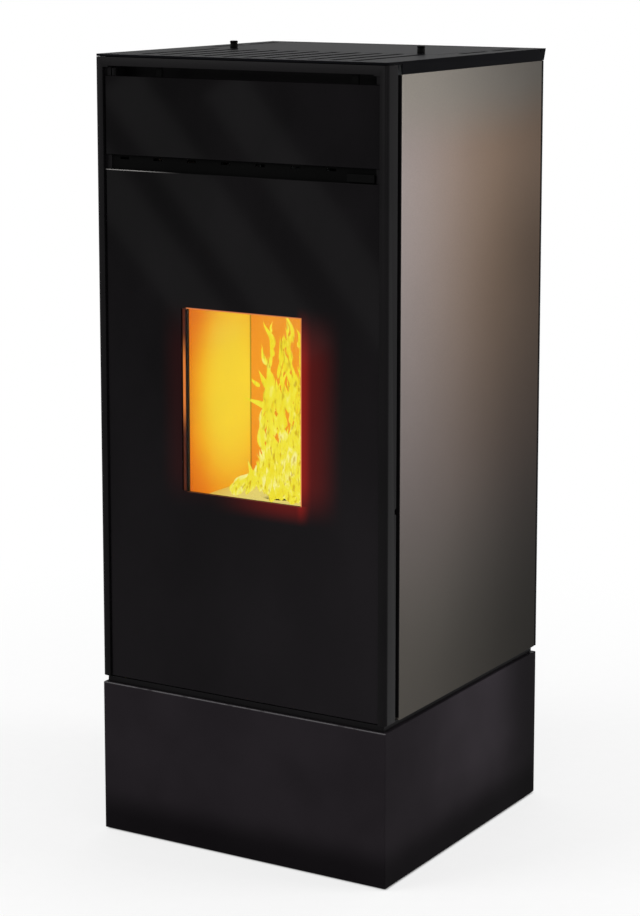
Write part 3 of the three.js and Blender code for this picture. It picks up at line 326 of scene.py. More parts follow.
# %% Zinc, bare sheet and cast iron
def zinc_plate():
    graph = Graph("zinc_plate")
    tilt = graph.cells(90)
    colour = graph.blend(tilt, rgb(128, 131, 134), rgb(172, 175, 178))
    return graph.surface(Base_Color=colour, Metallic=0.9, Roughness=0.3 + 0.16 * tilt)


def bare_sheet():
    graph = Graph("bare_sheet")
    brushed = graph.noise(60, 3, (1, 1, 14))
    colour = graph.blend(brushed, rgb(58, 57, 58), rgb(88, 87, 88))
    return graph.surface(
        Base_Color=colour, Metallic=0.7, Roughness=0.42 + 0.2 * brushed, Normal=graph.bump(brushed, 0.00003)
    )


def cast_surface(graph, glow):
    """Sand-cast iron with soot stains, and with the glow of the fire where there is any."""
    grain = graph.noise(520, 5)
    stain = graph.noise(24, 3)
    colour = graph.blend(stain, rgb(24, 23, 24), rgb(46, 44, 43))
    return graph.surface(
        Base_Color=colour,
        Metallic=0.2,
        Roughness=0.62 + 0.2 * grain,
        Specular_IOR_Level=0.3,
        Emission_Color=glow,
        Emission_Strength=1.0,
        Normal=graph.bump(grain, 0.00022),
    )


NO_GLOW = (0, 0, 0, 1)
zinc, sheet, iron = zinc_plate(), bare_sheet(), cast_surface(Graph("sand_cast_iron"), NO_GLOW)
print("metals:", zinc.name, sheet.name, iron.name)

# %% [markdown]
# ## Plastic, rope and ceramic
# The knobs, the socket and the boxes are moulded with a fine matt texture. The seals are woven
# from glass fibre, and the igniter is bare ceramic. A weave could be modelled strand by strand,
# but a seal shows only as a thin line when its door or lid is open. So a pair of crossed waves
# draws the strands, and a bump of half a millimetre gives them depth.

# %% Plastic, rope and ceramic
def moulded_plastic(name, low, high, gloss):
    graph = Graph(name)
    texture = graph.noise(1400, 2)
    return graph.surface(
        Base_Color=graph.blend(texture, low, high),
        Roughness=0.4 + 0.12 * texture,
        Specular_IOR_Level=gloss,
        Normal=graph.bump(texture, 0.00003),
    )


def woven_rope():
    graph = Graph("woven_rope")
    across, _, up = graph.place()
    one = graph.math("SINE", (across + up) * 2100)
    other = graph.math("SINE", (across - up) * 2100)
    weave = graph.clamp(0.5 + 0.5 * one * other)
    colour = graph.blend(weave, rgb(52, 48, 43), rgb(122, 115, 104))
    return graph.surface(
        Base_Color=colour, Roughness=0.95, Specular_IOR_Level=0.1, Normal=graph.bump(weave, 0.0005)
    )


def bare_ceramic():
    graph = Graph("bare_ceramic")
    chalk = graph.noise(300, 4)
    colour = graph.blend(chalk, rgb(214, 206, 188), rgb(236, 231, 219))
    return graph.surface(Base_Color=colour, Roughness=0.55 + 0.2 * chalk, Normal=graph.bump(chalk, 0.00005))


plastic = moulded_plastic("moulded_plastic", rgb(17, 17, 18), rgb(26, 26, 27), 0.2)
smoked_plastic = moulded_plastic("smoked_plastic", rgb(3, 3, 3), rgb(6, 6, 6), 0.02)
rope, ceramic = woven_rope(), bare_ceramic()
print("plastics, rope and ceramic ready")

# %% [markdown]
# ## Walls that glow with firelight
# The chamber is lined with pale mineral board. By the light of the fire it looks deep orange at
# the edges and yellow near the flames. The fire is a small light, so its glow is written into
# the boards as an emission that falls off with the distance from the flames. That keeps the look
# when the stove is shown without this scene's lamps. The board behind the flames glows a deeper
# orange, and the glow is painted dimmer on the side boards next to the back one, as painted shade
# in that corner. Only the side that faces the fire glows: the rear stays dark.

# %% Glowing boards
FLAMES = (0.0, -84.0, 712.0)  # middle of the tall flames


def nearness(graph, centre, reach, core, squash=1.0):
    """1 within core metres of a point given in millimetres, 0 at reach metres from it."""
    ends = {0: graph.stretched((1, 1, squash)), 1: mm(centre[0], centre[1], centre[2] * squash)}
    apart = graph.node("ShaderNodeVectorMath", {"operation": "DISTANCE"}, ends, "Value")
    return graph.fade(apart, reach, core)


def glowing_board(name, *stops):
    graph = Graph(name)
    pressed = graph.noise(160, 5)
    soot = graph.noise(11, 3)
    across, back, _ = graph.place()
    near = graph.clamp(nearness(graph, FLAMES, 0.215, 0.118, 0.7) + 0.14 * (soot - 0.5))
    # painted shade: the glow dims on the side boards where they meet the back board
    corner = graph.fade(back, -0.0405, -0.0375) * graph.fade(graph.math("ABSOLUTE", across), 0.1182, 0.1190)
    fire_side = graph.fade(back, -0.028, -0.034)
    return graph.surface(
        Base_Color=graph.blend(pressed, rgb(104, 66, 26), rgb(128, 88, 38)),
        Roughness=0.9,
        Specular_IOR_Level=0.1,
        Emission_Color=graph.shade(graph.ramp(near, *stops), fire_side * (1 - 0.6 * corner)),
        Emission_Strength=0.98,
        Normal=graph.bump(pressed, 0.0003),
    )


side_board = glowing_board(
    "glowing_side_board",
    (0.0, rgb(222, 104, 18)), (0.3, rgb(236, 132, 24)), (0.62, rgb(245, 176, 34)), (1.0, rgb(248, 221, 54)),
)
back_board = glowing_board(
    "glowing_back_board", (0.0, rgb(212, 92, 22)), (0.5, rgb(238, 128, 26)), (1.0, rgb(246, 156, 34))
)
print("boards:", side_board.name, back_board.name)

# %% [markdown]
# ## Hot iron
# The hearth under the flames is so bright that it looks almost white, and the pot below it stays
# dark. The fire door's frame catches the light on its left bar and on the edges round its glass.
# All of them are the cast iron from above with a glow added, in the same way as on the boards,
# so that the metal is still there where the light ends.

# %% Glow on the hearth and the door
POT = (0.0, -120.0, 552.0)  # rim of the burn pot


def glowing_hearth():
    graph = Graph("glowing_hearth")
    _, _, up = graph.place()
    near = nearness(graph, POT, 0.21, 0.06)
    glow = graph.ramp(near, (0.0, rgb(222, 120, 26)), (0.5, rgb(248, 196, 66)), (1.0, rgb(255, 234, 128)))
    return cast_surface(graph, graph.shade(glow, 0.84 * graph.fade(up, 0.540, 0.550)))


def glowing_door():
    """Cast iron whose left bar catches the fire beside the window, in a band at mid height."""
    graph = Graph("fire_door_iron")
    across, back, up = graph.place()
    band = graph.fade(up, 0.655, 0.715) * graph.fade(up, 0.825, 0.77)
    bar = graph.fade(across, -0.1270, -0.1250) * graph.fade(across, -0.1182, -0.1192)
    warm = graph.blend(band, rgb(84, 38, 24), rgb(226, 128, 58))
    inner = graph.fade(across, -0.1162, -0.1152) * graph.fade(back, -0.2185, -0.2165)
    inner = inner * graph.fade(across, -0.1135, -0.1148)
    glow = graph.blend(bar, NO_GLOW, warm)
    return cast_surface(graph, graph.blend(inner, glow, rgb(255, 206, 140)))


hearth_glow, door_glow = glowing_hearth(), glowing_door()
print("hot iron:", hearth_glow.name, door_glow.name)

# %% [markdown]
# ## Firelight through the print
# The front glass is printed black on its back, apart from one clear window. Round the window the
# bright chamber shines faintly through the print, most of all on the right, and the cut edge of
# the print lights up above it and on its right. Light let through the print would need many
# samples to come out clean. These marks are soft or thinner than a millimetre, so they are drawn
# as masks over the print, each a product of fades.

# %% Firelight through the print
WINDOW = {"x": (-106, 109), "z": (577, 864)}


def firelight_through(graph, across, up):
    """The halo beside and under the window, and the lit cut edge of the print round it."""
    tall = graph.fade(up, 0.545, 0.62) * (1 - graph.fade(up, 0.79, 0.885))
    edge = graph.fade(across, 0.100, 0.109)
    close = edge * (1 - graph.fade(across, 0.112, 0.130))
    wide = edge * (1 - graph.fade(across, 0.115, 0.185))
    left = 0.02 * graph.fade(across, -0.150, -0.108) * (1 - graph.fade(across, -0.07, 0.0))
    under = graph.fade(across, -0.06, 0.10) * (1 - graph.fade(across, 0.106, 0.125))
    under = under * graph.fade(up, 0.544, 0.575) * (1 - graph.fade(up, 0.577, 0.579))
    halo = tall * (0.24 * close + 0.13 * wide + left) + 0.16 * under
    inside = graph.fade(across, -0.098, -0.096) * graph.fade(up, 0.576, 0.578)
    rim = inside * (1 - graph.fade(across, 0.1105, 0.1110)) * (1 - graph.fade(up, 0.8655, 0.8660))
    red = graph.blend(halo, NO_GLOW, rgb(208, 34, 18))
    return graph.blend(0.8 * rim, red, rgb(236, 138, 84))


print("window in the print:", WINDOW)

# %% [markdown]
# ## Black and clear glass
# Seen from the front the print has the depth and gloss of the glass over it, so it is one dark,
# smooth surface, painted lighter towards the bottom and the right as a painted reflection. The upper
# edge of the lower pane is ground, which makes it pale, and that pale line is painted at its left
# end only, as a painted highlight. The rear of the print gets no halo, because it is only seen when
# the door is open. The clear glass could refract, but a flat pane hardly bends what is behind it.
# So it is a thin film of tint that lets nearly all light through, which renders fast and clean.

# %% Black and clear glass
def printed_glass(name, front):
    """The print over black glass, seen from the front, where the fire shines through, or the rear."""
    graph = Graph(name)
    across, _, up = graph.place()
    soft_patches = graph.noise(7, 4, (1, 1, 0.6))
    # painted reflection: the print is lighter towards the bottom and the right, and soft patches vary it
    low = graph.fade(up, 1.15, 0.35)
    rightward = graph.fade(across, -0.2, 0.24)
    tone = 0.25 + 0.5 * low + 0.45 * rightward * (0.4 + 0.6 * low) + 0.25 * graph.fade(soft_patches, 0.35, 0.75)
    # the ground edge is pale; its pale line is painted at the left end only, as a painted highlight
    ground = graph.fade(up, 1.0710, 1.0714) * (1 - graph.fade(up, 1.0725, 1.0730))
    ground = ground * (1 - graph.fade(across, -0.20, -0.10))
    return graph.surface(
        Base_Color=graph.blend(ground, graph.shade(rgb(20, 18, 20), tone), rgb(150, 148, 146)),
        Roughness=0.06,
        Specular_IOR_Level=0.03,
        Emission_Color=firelight_through(graph, across, up) if front else NO_GLOW,
        Emission_Strength=1.0,
    )


def clear_glass(name, tint, body):
    graph = Graph(name)
    streak = graph.noise(14, 2)
    return graph.surface(
        Base_Color=tint,
        Roughness=0.05,
        Specular_IOR_Level=0.5,
        Alpha=body + 0.03 * streak,
    )


print_black = printed_glass("printed_black_glass", front=True)
print_rear = printed_glass("black_glass_rear", front=False)
clear_front = clear_glass("clear_front_window", rgb(24, 12, 6), 0.03)
clear_fire = clear_glass("clear_fire_window", rgb(120, 90, 50), 0.03)
print("glass ready")

# %% [markdown]
# ## A first coat on every piece
# Every piece of the frame takes the finish that its record names, and a few take a version of it
# that knows where the fire or the floor is, or that is duller than the rest. The rail and brackets
# in the slots take a darker copy of the black as painted shade. Pieces that stay as they are keep
# this coat, and pieces that get a finer form below take it with them.

# %% Coat everything
FINISHES = {
    "black_steel": satin_black,
    "top_black": top_black,
    "bronze": bronze,
    "black_glass": print_black,
    "fire_glass": clear_fire,
    "cast_iron": iron,
    "lining": side_board,
    "zinc": zinc,
    "inner_steel": sheet,
    "rope": rope,
    "plastic": plastic,
    "ceramic": ceramic,
}
OWN_FINISH = {
    "slot_rail": slot_shade_black,
    "glass_bracket_left": slot_shade_black,
    "glass_bracket_right": slot_shade_black,
    "receiver_block": smoked_plastic,
    "lid_knob_left": smoked_plastic,
    "lid_knob_right": smoked_plastic,
    "plinth_shell": plinth_black,
    "lining_back": back_board,
    "hearth_plate": hearth_glow,
    "burn_pot": hearth_glow,
    "fire_door_frame": door_glow,
}
for name, node in nodes.items():
    node.data.materials.clear()
    node.data.materials.append(OWN_FINISH.get(name, FINISHES[slot_of[name]]))
coats = {node.data.materials[0].name for node in nodes.values()}
print("coated", len(nodes), "pieces in", len(coats), "finishes")

# %% [markdown]
# ## Pieces, and eased edges
# No real edge is perfectly sharp. Bent sheet has a radius, cut sheet a burr that was broken, and
# cast iron a generous round, and the thin highlight along such an edge is what makes a form read
# as metal. So the pieces whose edges catch the light are copied from the frame, their triangles
# are joined back into flat faces, and a Bevel modifier rounds each hard edge. A Bevel node in the
# material would only bend the light there, while the modifier's rounds are part of the mesh.

# %% Making a piece
def finish_piece(name, mesh, node_names, body, slot, smooth=35):
    """Puts a mesh in the scene as a named piece that moves with a body of the stove."""
    mesh.shade_smooth()
    mesh.set_sharp_from_angle(angle=math.radians(smooth))
    if not mesh.materials:
        mesh.materials.append(OWN_FINISH.get(node_names[0] if node_names else None, FINISHES[slot]))
    piece = bpy.data.objects.new(name, mesh)
    bpy.context.scene.collection.objects.link(piece)
    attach(piece, body)
    if node_names:
        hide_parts(*node_names)
    return piece


WELD = 1e-5  # metres within which two corners are one
FLAT, ANY_SHAPE = 0.01, 3.0  # radians: faces this flat to each other join, whatever their outline


def eased(node, radius, steps=2, limit=40):
    """The node's own form with its hard edges rounded to a radius in millimetres."""
    form = bmesh.new()
    form.from_mesh(nodes[node].data)
    bmesh.ops.remove_doubles(form, verts=form.verts, dist=WELD)
    bmesh.ops.join_triangles(
        form, faces=form.faces, angle_face_threshold=FLAT, angle_shape_threshold=ANY_SHAPE
    )
    mesh = bpy.data.meshes.new(f"{node}_eased")
    form.to_mesh(mesh)
    form.free()
    piece = finish_piece(f"{node}_eased", mesh, [node], body_of[node], slot_of[node])
    bevel = piece.modifiers.new("eased edges", "BEVEL")
    bevel.width, bevel.segments = radius / 1000, steps
    bevel.limit_method, bevel.angle_limit = "ANGLE", math.radians(limit)
    bevel.harden_normals = True
    bevel.use_clamp_overlap = False
    return piece


EASED = {  # radius of the edges of each piece
    "plinth_shell": 1.2,
    "plinth_rear_panel": 0.5,
    "riser_frame": 0.5,
    "side_panel_left": 0.8,
    "side_panel_right": 0.8,
    "rear_panel": 0.5,
    "top_plate": 0.6,
    "hopper_lid": 0.5,
    "outer_door_frame": 0.6,
    "slot_rail": 0.3,
    "glass_bracket_left": 0.3,
    "glass_bracket_right": 0.3,
    "receiver_block": 0.8,
    "fire_door_frame": 1.2,
    "fire_door_handle": 1.0,
    "ash_drawer": 0.4,
    "burn_pot": 0.8,
    "hearth_plate": 0.6,
    "lining_left": 1.0,
    "lining_right": 1.0,
    "lining_back": 1.0,
    "power_inlet": 0.5,
    "switch_rocker": 0.5,
}
for node, radius in EASED.items():
    eased(node, radius)
print("eased", len(EASED), "pieces")

# %% [markdown]
# ## The front glasses
# Each front glass is a 4 mm pane with a fine polished chamfer all round. The lower pane's front
# and back are cut into nine fields, so that the middle one can be clear glass and the other
# eight printed black, with a crisp border between them. A Boolean could cut that border too, but
# a grid laid point by point gives nine clean rectangles and a chamfer of even width.

# %% Panes with a window
PANE = {"x": (-245.5, 245.5), "y": (-254.9, -250.9), "chamfer": 0.7}
UPPER_PANE, LOWER_PANE = (1095, 1217), (258.5, 1072)  # their heights


def pane(name, node, z, window=None):
    """A glass pane with chamfered edges and, where asked, a clear window in its print."""
    y0, y1 = PANE["y"]
    chamfer = PANE["chamfer"]
    xs, zs = list(PANE["x"]), list(z)
    if window:
        xs[1:1] = window["x"]
        zs[1:1] = window["z"]
    form = bmesh.new()

    def layer(y, inset):
        last_x, last_z = len(xs) - 1, len(zs) - 1
        grid = {}
        for i, x in enumerate(xs):
            for j, height in enumerate(zs):
                px = x + inset * ((i == 0) - (i == last_x))
                pz = height + inset * ((j == 0) - (j == last_z))
                grid[i, j] = form.verts.new(mm(px, y, pz))
        return grid

    levels = [layer(y0, chamfer), layer(y0 + chamfer, 0), layer(y1 - chamfer, 0), layer(y1, chamfer)]
    columns, rows = len(xs) - 1, len(zs) - 1
    for front, grid in ((True, levels[0]), (False, levels[3])):
        for i in range(columns):
            for j in range(rows):
                loop = [grid[i, j], grid[i + 1, j], grid[i + 1, j + 1], grid[i, j + 1]]
                face = form.faces.new(loop if front else loop[::-1])
                face.material_index = 1 if window and (i, j) == (1, 1) else (0 if front else 2)
    rim = [(i, 0) for i in range(columns)] + [(columns, j) for j in range(rows)]
    rim += [(i, rows) for i in range(columns, 0, -1)] + [(0, j) for j in range(rows, 0, -1)]
    for near, far in zip(levels, levels[1:]):
        for a, b in zip(rim, rim[1:] + rim[:1]):
            form.faces.new([near[b], near[a], far[a], far[b]])
    loose = [v for v in form.verts if not v.link_faces]
    bmesh.ops.delete(form, geom=loose, context="VERTS")
    mesh = bpy.data.meshes.new(name)
    form.to_mesh(mesh)
    form.free()
    for finish in (print_black, clear_front, print_rear):
        mesh.materials.append(finish)
    return finish_piece(name, mesh, [node], "outer_door", "black_glass", smooth=20)


pane("upper_pane", "upper_glass", UPPER_PANE)
lower = pane("lower_pane", "lower_glass", LOWER_PANE, WINDOW)
print("lower pane has", len(lower.data.polygons), "faces")

# %% [markdown]
# ## Turned pieces
# Knobs, pipes and screw heads are round about an axis. A profile of radius and height is spun
# about it with enough sides to look round. A Screw modifier could do this too, but here a flute
# count can pinch a ring of the profile into a star, and so make the recess of a screw.

# %% Spinning a profile
def spun(name, profile, at, axis, body, slot, sides=48, node_names=(), closed=False):
    """Spins [radius, height] points about an axis through a point; (r, h, flutes) makes a star."""
    turn = Vector(axis).to_track_quat("Z", "Y")
    form = bmesh.new()
    rings = []
    for radius, height, *flutes in profile:
        if radius == 0:
            rings.append([form.verts.new(mm(*at) + turn @ mm(0, 0, height))])
            continue
        ring = []
        for i in range(sides):
            angle = 2 * math.pi * i / sides
            reach = radius * (1 + 0.14 * math.cos(flutes[0] * angle)) if flutes else radius
            point = mm(reach * math.cos(angle), reach * math.sin(angle), height)
            ring.append(form.verts.new(mm(*at) + turn @ point))
        rings.append(ring)
    pairs = list(zip(rings, rings[1:])) + ([(rings[-1], rings[0])] if closed else [])
    for low, high in pairs:
        for i in range(sides):
            j = (i + 1) % sides
            corners = [low[i % len(low)], low[j % len(low)], high[j % len(high)], high[i % len(high)]]
            form.faces.new(list(dict.fromkeys(corners)))
    bmesh.ops.recalc_face_normals(form, faces=form.faces)
    mesh = bpy.data.meshes.new(name)
    form.to_mesh(mesh)
    form.free()
    return finish_piece(name, mesh, list(node_names), body, slot)


KNOB_PROFILE = [  # radius and height of each ring
    (0, 0.3), (6.0, 0.3), (6.2, 0.5), (6.2, 7.6), (6.0, 7.9), (5.6, 8.0), (5.5, 8.2), (5.5, 8.6),
    (5.6, 8.8), (6.2, 9.0), (6.4, 9.4), (6.4, 11.2), (6.2, 11.7), (5.6, 12.1), (4.6, 12.3), (0, 12.3),
]
BACKWARD, UPWARD = (0, 1, 0), (0, 0, 1)
TOP_FACE = 1250
for side, x in (("left", -172), ("right", 172)):
    spun(f"knob_{side}", KNOB_PROFILE, (x, 0, TOP_FACE), UPWARD, "lid", "plastic", 40, [f"lid_knob_{side}"])


def tube(outer, inner, start, end):
    """The profile of a pipe with a rolled bead near its free end."""
    bead = [(outer, 18), (outer + 1.1, 16.5), (outer + 1.5, 15), (outer + 1.1, 13.5), (outer, 12)]
    mouth = [(outer, 0.4), (outer - 0.4, 0), (inner + 0.3, 0), (inner, 0.4)]
    return [(inner, start), (outer, start)] + [(radius, end - before) for radius, before in bead + mouth]


PIPE_END = 255
flue = tube(outer=40, inner=38, start=62.3, end=PIPE_END)
intake = tube(outer=25, inner=23.5, start=-20.7, end=PIPE_END)
spun("flue_pipe", flue, (-5, 0, 375), BACKWARD, "cabinet", "black_steel", 96, ["flue_spigot"], closed=True)
spun("intake_pipe", intake, (-70, 0, 500), BACKWARD, "cabinet", "zinc", 72, ["air_intake_pipe"], closed=True)
print("two knobs and two pipes turned")

# %% [markdown]
# ## Screws
# Small pan-head screws hold the back, its recessed plate and the back of the plinth. Each is a
# turned head with a star recess. They are too small for the solids, but the back looks blank
# without them.

# %% Screws
SCREW = [  # radius and height of each ring, and the flutes of the recess
    (0, -0.2), (3.4, -0.2), (3.5, 0.3), (3.2, 1.1), (2.4, 1.7), (1.75, 1.85),
    (1.45, 1.85, 6), (1.4, 0.9, 6), (0, 0.8),
]


def screws(name, points):
    """Screw heads on the back of the cabinet, one at each point."""
    for i, at in enumerate(points):
        spun(f"{name}_{i + 1}", SCREW, at, BACKWARD, "cabinet", "zinc", 36)


back_edge = [(x, 251, z) for x in (-242, 242) for z in (300, 600, 900, 1200)]
recess_rim = [(x, 214, z) for x in (-205, 205) for z in (440, 820, 1165)]
plinth_back = [(x, 251, z) for x in (-244, 0, 244) for z in (30, 225)]
screws("back_screw", back_edge)
screws("recess_screw", recess_rim)
screws("plinth_screw", plinth_back)
print("screws:", len(back_edge) + len(recess_rim) + len(plinth_back))

# %% [markdown]
# ## The fire
# Pellets burn with restless, broken flames. Their colour goes from pale yellow low down to a
# deeper yellow at the tips, and noise breaks it into streaks with darker flecks. The pellets
# under them glow in patches from orange to pale yellow. A volume could look softer, but it is
# slow to render and isn't a mesh. So the flames are thin closed forms that only give off light.

# %% Flame and ember materials
def flame_light():
    graph = Graph("flame_light")
    _, _, up = graph.place()
    streaks = graph.noise(80, 4, (1, 1, 0.35))
    flecks = graph.fade(graph.noise(210, 2, (1, 1, 0.3)), 0.57, 0.65)
    rise = graph.fade(up, 0.56, 0.86)
    heat = graph.clamp(0.78 - 0.2 * rise + 1.5 * (streaks - 0.5))
    glow = graph.ramp(
        heat,
        (0.0, rgb(234, 120, 26)), (0.3, rgb(240, 182, 32)), (0.5, rgb(242, 222, 42)),
        (0.82, rgb(245, 233, 62)), (1.0, rgb(250, 242, 142)),
    )
    return graph.surface(
        Base_Color=(0, 0, 0, 1),
        Specular_IOR_Level=0.0,
        Emission_Color=graph.blend(0.6 * flecks, glow, rgb(196, 146, 20)),
        Emission_Strength=1.13,
    )


def ember_light():
    graph = Graph("ember_light")
    crust = graph.noise(150, 4)
    glow = graph.blend(graph.fade(crust, 0.35, 0.65), rgb(226, 92, 18), rgb(255, 226, 120))
    return graph.surface(
        Base_Color=rgb(40, 30, 24), Roughness=0.9, Emission_Color=glow, Emission_Strength=1.0
    )


flame_finish, ember_finish = flame_light(), ember_light()
print("fire materials ready")

# %% [markdown]
# ## Streams and licks
# The flames rise in streams, and each stream is a chain of licks: closed, flattened leaves with
# a pointed tip that overlap one another and turn aside as they climb. One function gives the
# wandering line of a stream, and another hangs a leaf on any such line. That keeps apart where
# the fire goes and what one flame looks like, so that either can be changed alone.

# %% A stream and a lick
TALLEST, SHORTEST = 284, 18  # height of the flames over the hearth, and of the least lick


def stream(chance, reach):
    """The wandering line of one stream: a function from height to place, and its top."""
    angle, out = chance.uniform(0, 2 * math.pi), reach * math.sqrt(chance.random())
    x, y = out * math.cos(angle), out * math.sin(angle)
    spread, wave = chance.uniform(0.8, 1.25), chance.uniform(3, 9)
    turns, start = chance.uniform(0.8, 2.0), chance.uniform(0, 2 * math.pi)

    def path(height):
        t = height / TALLEST
        swing = wave * math.sqrt(t) * math.sin(2 * math.pi * turns * t + start) + 6 * t
        widen = 1 + (spread - 1) * t
        return Vector((x * widen + swing, POT[1] + y * widen * 0.8 + 0.4 * swing, POT[2] + 2 + height))

    return path, TALLEST * (1 - 0.6 * (out / reach) * chance.random())


def lick(form, chance, path, start, length, width):
    """Adds one closed leaf of flame that follows a path and turns aside at its tip."""
    steps, sides = 8, 6
    aside = chance.uniform(-0.24, 0.24) * length
    curl, phase = chance.uniform(0.0, 0.07) * length, chance.uniform(0, 2 * math.pi)
    turn = chance.uniform(-0.7, 0.7)
    across = Vector((-math.sin(turn), math.cos(turn), 0))

    def middle(t):
        bend = aside * t * t + curl * math.sin(2 * math.pi * t + phase)
        return path(start + length * t) + Vector((bend, 0.3 * bend, 0))

    rings = [[form.verts.new(mm(*middle(0)))]]
    for i in range(1, steps):
        t = i / steps
        along = (middle(t + 0.05) - middle(t - 0.05)).normalized()
        wide = across.cross(along).normalized()
        thick = along.cross(wide)
        swell = width * math.sin(math.pi * t ** 0.6) * (1 - 0.4 * t)
        ring = []
        for j in range(sides):
            angle = 2 * math.pi * j / sides
            reach = wide * swell * math.cos(angle) + thick * 0.4 * swell * math.sin(angle)
            ring.append(form.verts.new(mm(*(middle(t) + reach))))
        rings.append(ring)
    rings.append([form.verts.new(mm(*middle(1)))])
    for low, high in zip(rings, rings[1:]):
        for j in range(sides):
            k = (j + 1) % sides
            corners = [low[j % len(low)], low[k % len(low)], high[k % len(high)], high[j % len(high)]]
            form.faces.new(list(dict.fromkeys(corners)))


print("streams climb up to", TALLEST, "mm")

# %% [markdown]
# ## The whole fire
# Streams climb from the pot, smaller licks run over the hearth round it, and a few strays lean
# out of the column. Placing some hundreds of licks by hand would take days, so chance places all
# but the strays. A fixed seed makes the same fire each time, from every side and in every pose.

# %% All the flames
COLUMN, HEARTH = 40, 98  # how far from the pot's middle the streams and the small licks root
STRAYS = [  # licks that lean out of the column: root, tip and width
    ((-22, -112, 688), (-86, -122, 706), 7),
    ((-30, -112, 716), (-62, -118, 752), 6),
    ((-52, -116, 724), (-70, -120, 738), 4),
    ((14, -118, 800), (2, -118, 858), 6),
]


def straight(root, tip):
    """The line from root to tip, as a function of the distance along it, and its length."""
    length = (tip - root).length
    return (lambda along: root + (tip - root) * (along / length)), length


def fire(streams, low_licks, seed):
    """Streams that climb from the pot, small licks round it, and the strays, in one mesh."""
    chance = random.Random(seed)
    form = bmesh.new()
    for _ in range(streams):
        path, top = stream(chance, COLUMN)
        height = 0
        while height < top - SHORTEST:
            share = height / TALLEST
            length = min(chance.uniform(30, 70) * (1 - 0.3 * share), top - height)
            if chance.random() > 0.15 + 0.3 * share:  # more gaps higher up
                lick(form, chance, path, height, length, chance.uniform(4, 9) * (1 - 0.45 * share))
            height += length * chance.uniform(0.35, 0.65)
    for _ in range(low_licks):
        angle, out = chance.uniform(0, 2 * math.pi), HEARTH * math.sqrt(chance.uniform(0.12, 1))
        root = Vector((out * math.cos(angle), POT[1] + 0.74 * out * math.sin(angle), POT[2] + 7))
        tall = chance.uniform(0.55, 1.1) * (100 - 0.78 * out)
        tip = root + Vector((-0.2 * root.x, -0.2 * (root.y - POT[1]), tall))
        path, length = straight(root, tip)
        lick(form, chance, path, 0, length, chance.uniform(5, 13))
    for root, tip, width in STRAYS:
        path, length = straight(Vector(root), Vector(tip))
        lick(form, chance, path, 0, length, width)
    mesh = bpy.data.meshes.new("flames")
    form.to_mesh(mesh)
    form.free()
    mesh.materials.append(flame_finish)
    return finish_piece("flames", mesh, [], "burn_pot", "ceramic", smooth=80)


flames = fire(streams=28, low_licks=66, seed=7)
print("flames have", len(flames.data.polygons), "faces")

# %% [markdown]
# ## Pellets
# Under the flames lies a bed of glowing pellets: short rods, tumbled at random in the bowl. A
# physics simulation could drop them in, but it would have to run first each time. A seeded loop
# that heaps them higher in the middle looks the same through the flames.

# %% Ember bed
BED = {"floor": 506, "deep": 34, "reach": 33}
PELLET_RADIUS = 0.003  # metres


def ember_bed(count, seed):
    """A heap of short rods in the bowl, higher in the middle."""
    chance = random.Random(seed)
    form = bmesh.new()
    for _ in range(count):
        angle, out = chance.uniform(0, 2 * math.pi), BED["reach"] * math.sqrt(chance.random())
        height = BED["floor"] + chance.uniform(0, BED["deep"]) * (1 - out / 60)
        middle = mm(out * math.cos(angle), POT[1] + out * math.sin(angle), height)
        along = Vector((chance.uniform(-1, 1), chance.uniform(-1, 1), chance.uniform(-0.4, 0.4)))
        lie = along.to_track_quat("Z", "Y")
        rod = bmesh.ops.create_cone(
            form, cap_ends=True, segments=9, radius1=PELLET_RADIUS, radius2=PELLET_RADIUS,
            depth=2 * chance.uniform(0.005, 0.009),
        )
        for vert in rod["verts"]:
            vert.co = middle + lie @ vert.co
    mesh = bpy.data.meshes.new("ember_bed")
    form.to_mesh(mesh)
    form.free()
    mesh.materials.append(ember_finish)
    return finish_piece("ember_bed", mesh, [], "burn_pot", "ceramic")


bed = ember_bed(count=110, seed=11)
print("ember bed has", len(bed.data.polygons), "faces")

# %% [markdown]
# ## Floor and background
# The stove stands on a plain pale floor that runs up to a white world. To the camera, and to
# what mirrors show, floor and world are white by their own colour, and the floor keeps a soft
# shadow round the stove. A curved sheet of paper is what a studio would use, but it has a back,
# and the stove is looked at from all sides. Under the stove the floor isn't white, or it would
# shine out through the slots of the plinth.

# %% Floor and world
def seen_directly(graph):
    """1 for rays from the camera, from mirrors and through glass, 0 for rays that carry light."""
    rays = graph.node("ShaderNodeLightPath").socket.node
    kinds = ("Is Camera Ray", "Is Glossy Ray", "Is Transmission Ray")
    return graph.clamp(sum(Wire(graph, rays.outputs[kind]) for kind in kinds))


def studio_floor():
    graph = Graph("studio_floor")
    seen = seen_directly(graph)
    across, back, _ = graph.place()
    apart = graph.math("SQRT", across * across + back * back)
    grain = graph.blend(graph.noise(40, 3), rgb(236, 236, 236), rgb(243, 243, 243))
    paper = graph.node("ShaderNodeBsdfDiffuse", None, {"Color": grain})
    white = graph.node("ShaderNodeEmission", None, {"Color": (1, 1, 1, 1), "Strength": 1.0})
    beside, behind = graph.math("ABSOLUTE", across), graph.math("ABSOLUTE", back)
    under = graph.fade(beside, 0.262, 0.256) * graph.fade(behind, 0.257, 0.249)
    share = seen * (1 - under) * (0.72 + 0.28 * graph.fade(apart, 0.5, 1.8))
    graph.node_end(graph.node("ShaderNodeMixShader", None, {0: share, 1: paper, 2: white}))
    return graph.material


FLOOR_SIZE = 160  # metres, so that its edge is out of sight
bpy.ops.mesh.primitive_plane_add(size=FLOOR_SIZE)
floor = bpy.context.object
floor.name = "studio_floor"
floor.data.materials.append(studio_floor())

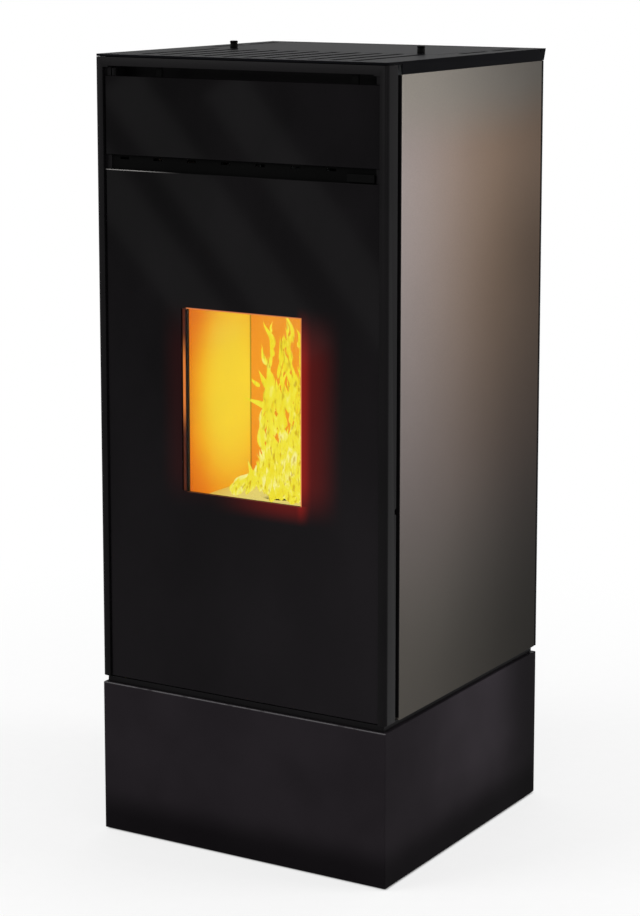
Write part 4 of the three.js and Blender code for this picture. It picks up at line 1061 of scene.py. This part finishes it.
world = bpy.data.worlds.new("studio")
bpy.context.scene.world = world
sky = Graph("studio", world)
strength = 0.35 + 0.65 * seen_directly(sky)  # white where it is seen, softer as a light
white_world = sky.node("ShaderNodeBackground", None, {"Color": (1, 1, 1, 1), "Strength": strength})
sky.node_end(white_world, "ShaderNodeOutputWorld")
print("floor and world ready")

# %% [markdown]
# ## Lamps
# Large soft lamps light the stove at a plain level from both sides of the front, from the right,
# from above and from behind. Small lamps are easier to aim, but they would leave hard spots in
# the glass and the metallic sides. Three dim tilted strips are there only for the black glass to
# mirror, because a flawless black field would not look like glass. The rear lamp hangs below the
# top, so that it doesn't mirror in it.

# %% Soft lamps and strips
def softbox(name, at, aim, width, height, power, roll=0.0):
    """A rectangular lamp at a point in metres, turned to its aim and rolled about that line."""
    lamp = bpy.data.lights.new(name, "AREA")
    lamp.shape, lamp.size, lamp.size_y, lamp.energy = "RECTANGLE", width, height, power
    holder = bpy.data.objects.new(name, lamp)
    bpy.context.scene.collection.objects.link(holder)
    holder.location = at
    facing = (Vector(at) - Vector(aim)).to_track_quat("Z", "Y")
    holder.rotation_euler = (facing @ Quaternion((0, 0, 1), math.radians(roll))).to_euler()


# name, where it hangs, what it aims at, width, height and watts
softbox("key", (-2.4, -3.0, 3.0), (0, 0, 0.7), 2.4, 2.4, 95)
softbox("side", (3.2, 1.2, 2.6), (0.2, 0, 1.0), 1.6, 2.4, 70)
softbox("fill", (2.2, -3.6, 1.4), (0, 0, 0.6), 2.2, 2.2, 30)
softbox("overhead", (0, 0.2, 4.0), (0, 0, 1), 2.6, 2.6, 40)
softbox("rear", (-1.4, 3.2, 0.65), (0, 0.2, 0.65), 2.0, 0.9, 36)
for i, x in enumerate((-2.3, -1.98, -1.62)):
    softbox(f"strip_{i + 1}", (x, -3.2, 0.6), (0, -0.25, 0.9), 0.13, 1.0, 0.7, roll=35)
print("lamps ready")

# %% [markdown]
# ## Close the scene
# Standard view transform keeps colours as written.

# %% Settings
bpy.context.scene.view_settings.view_transform = "Standard"
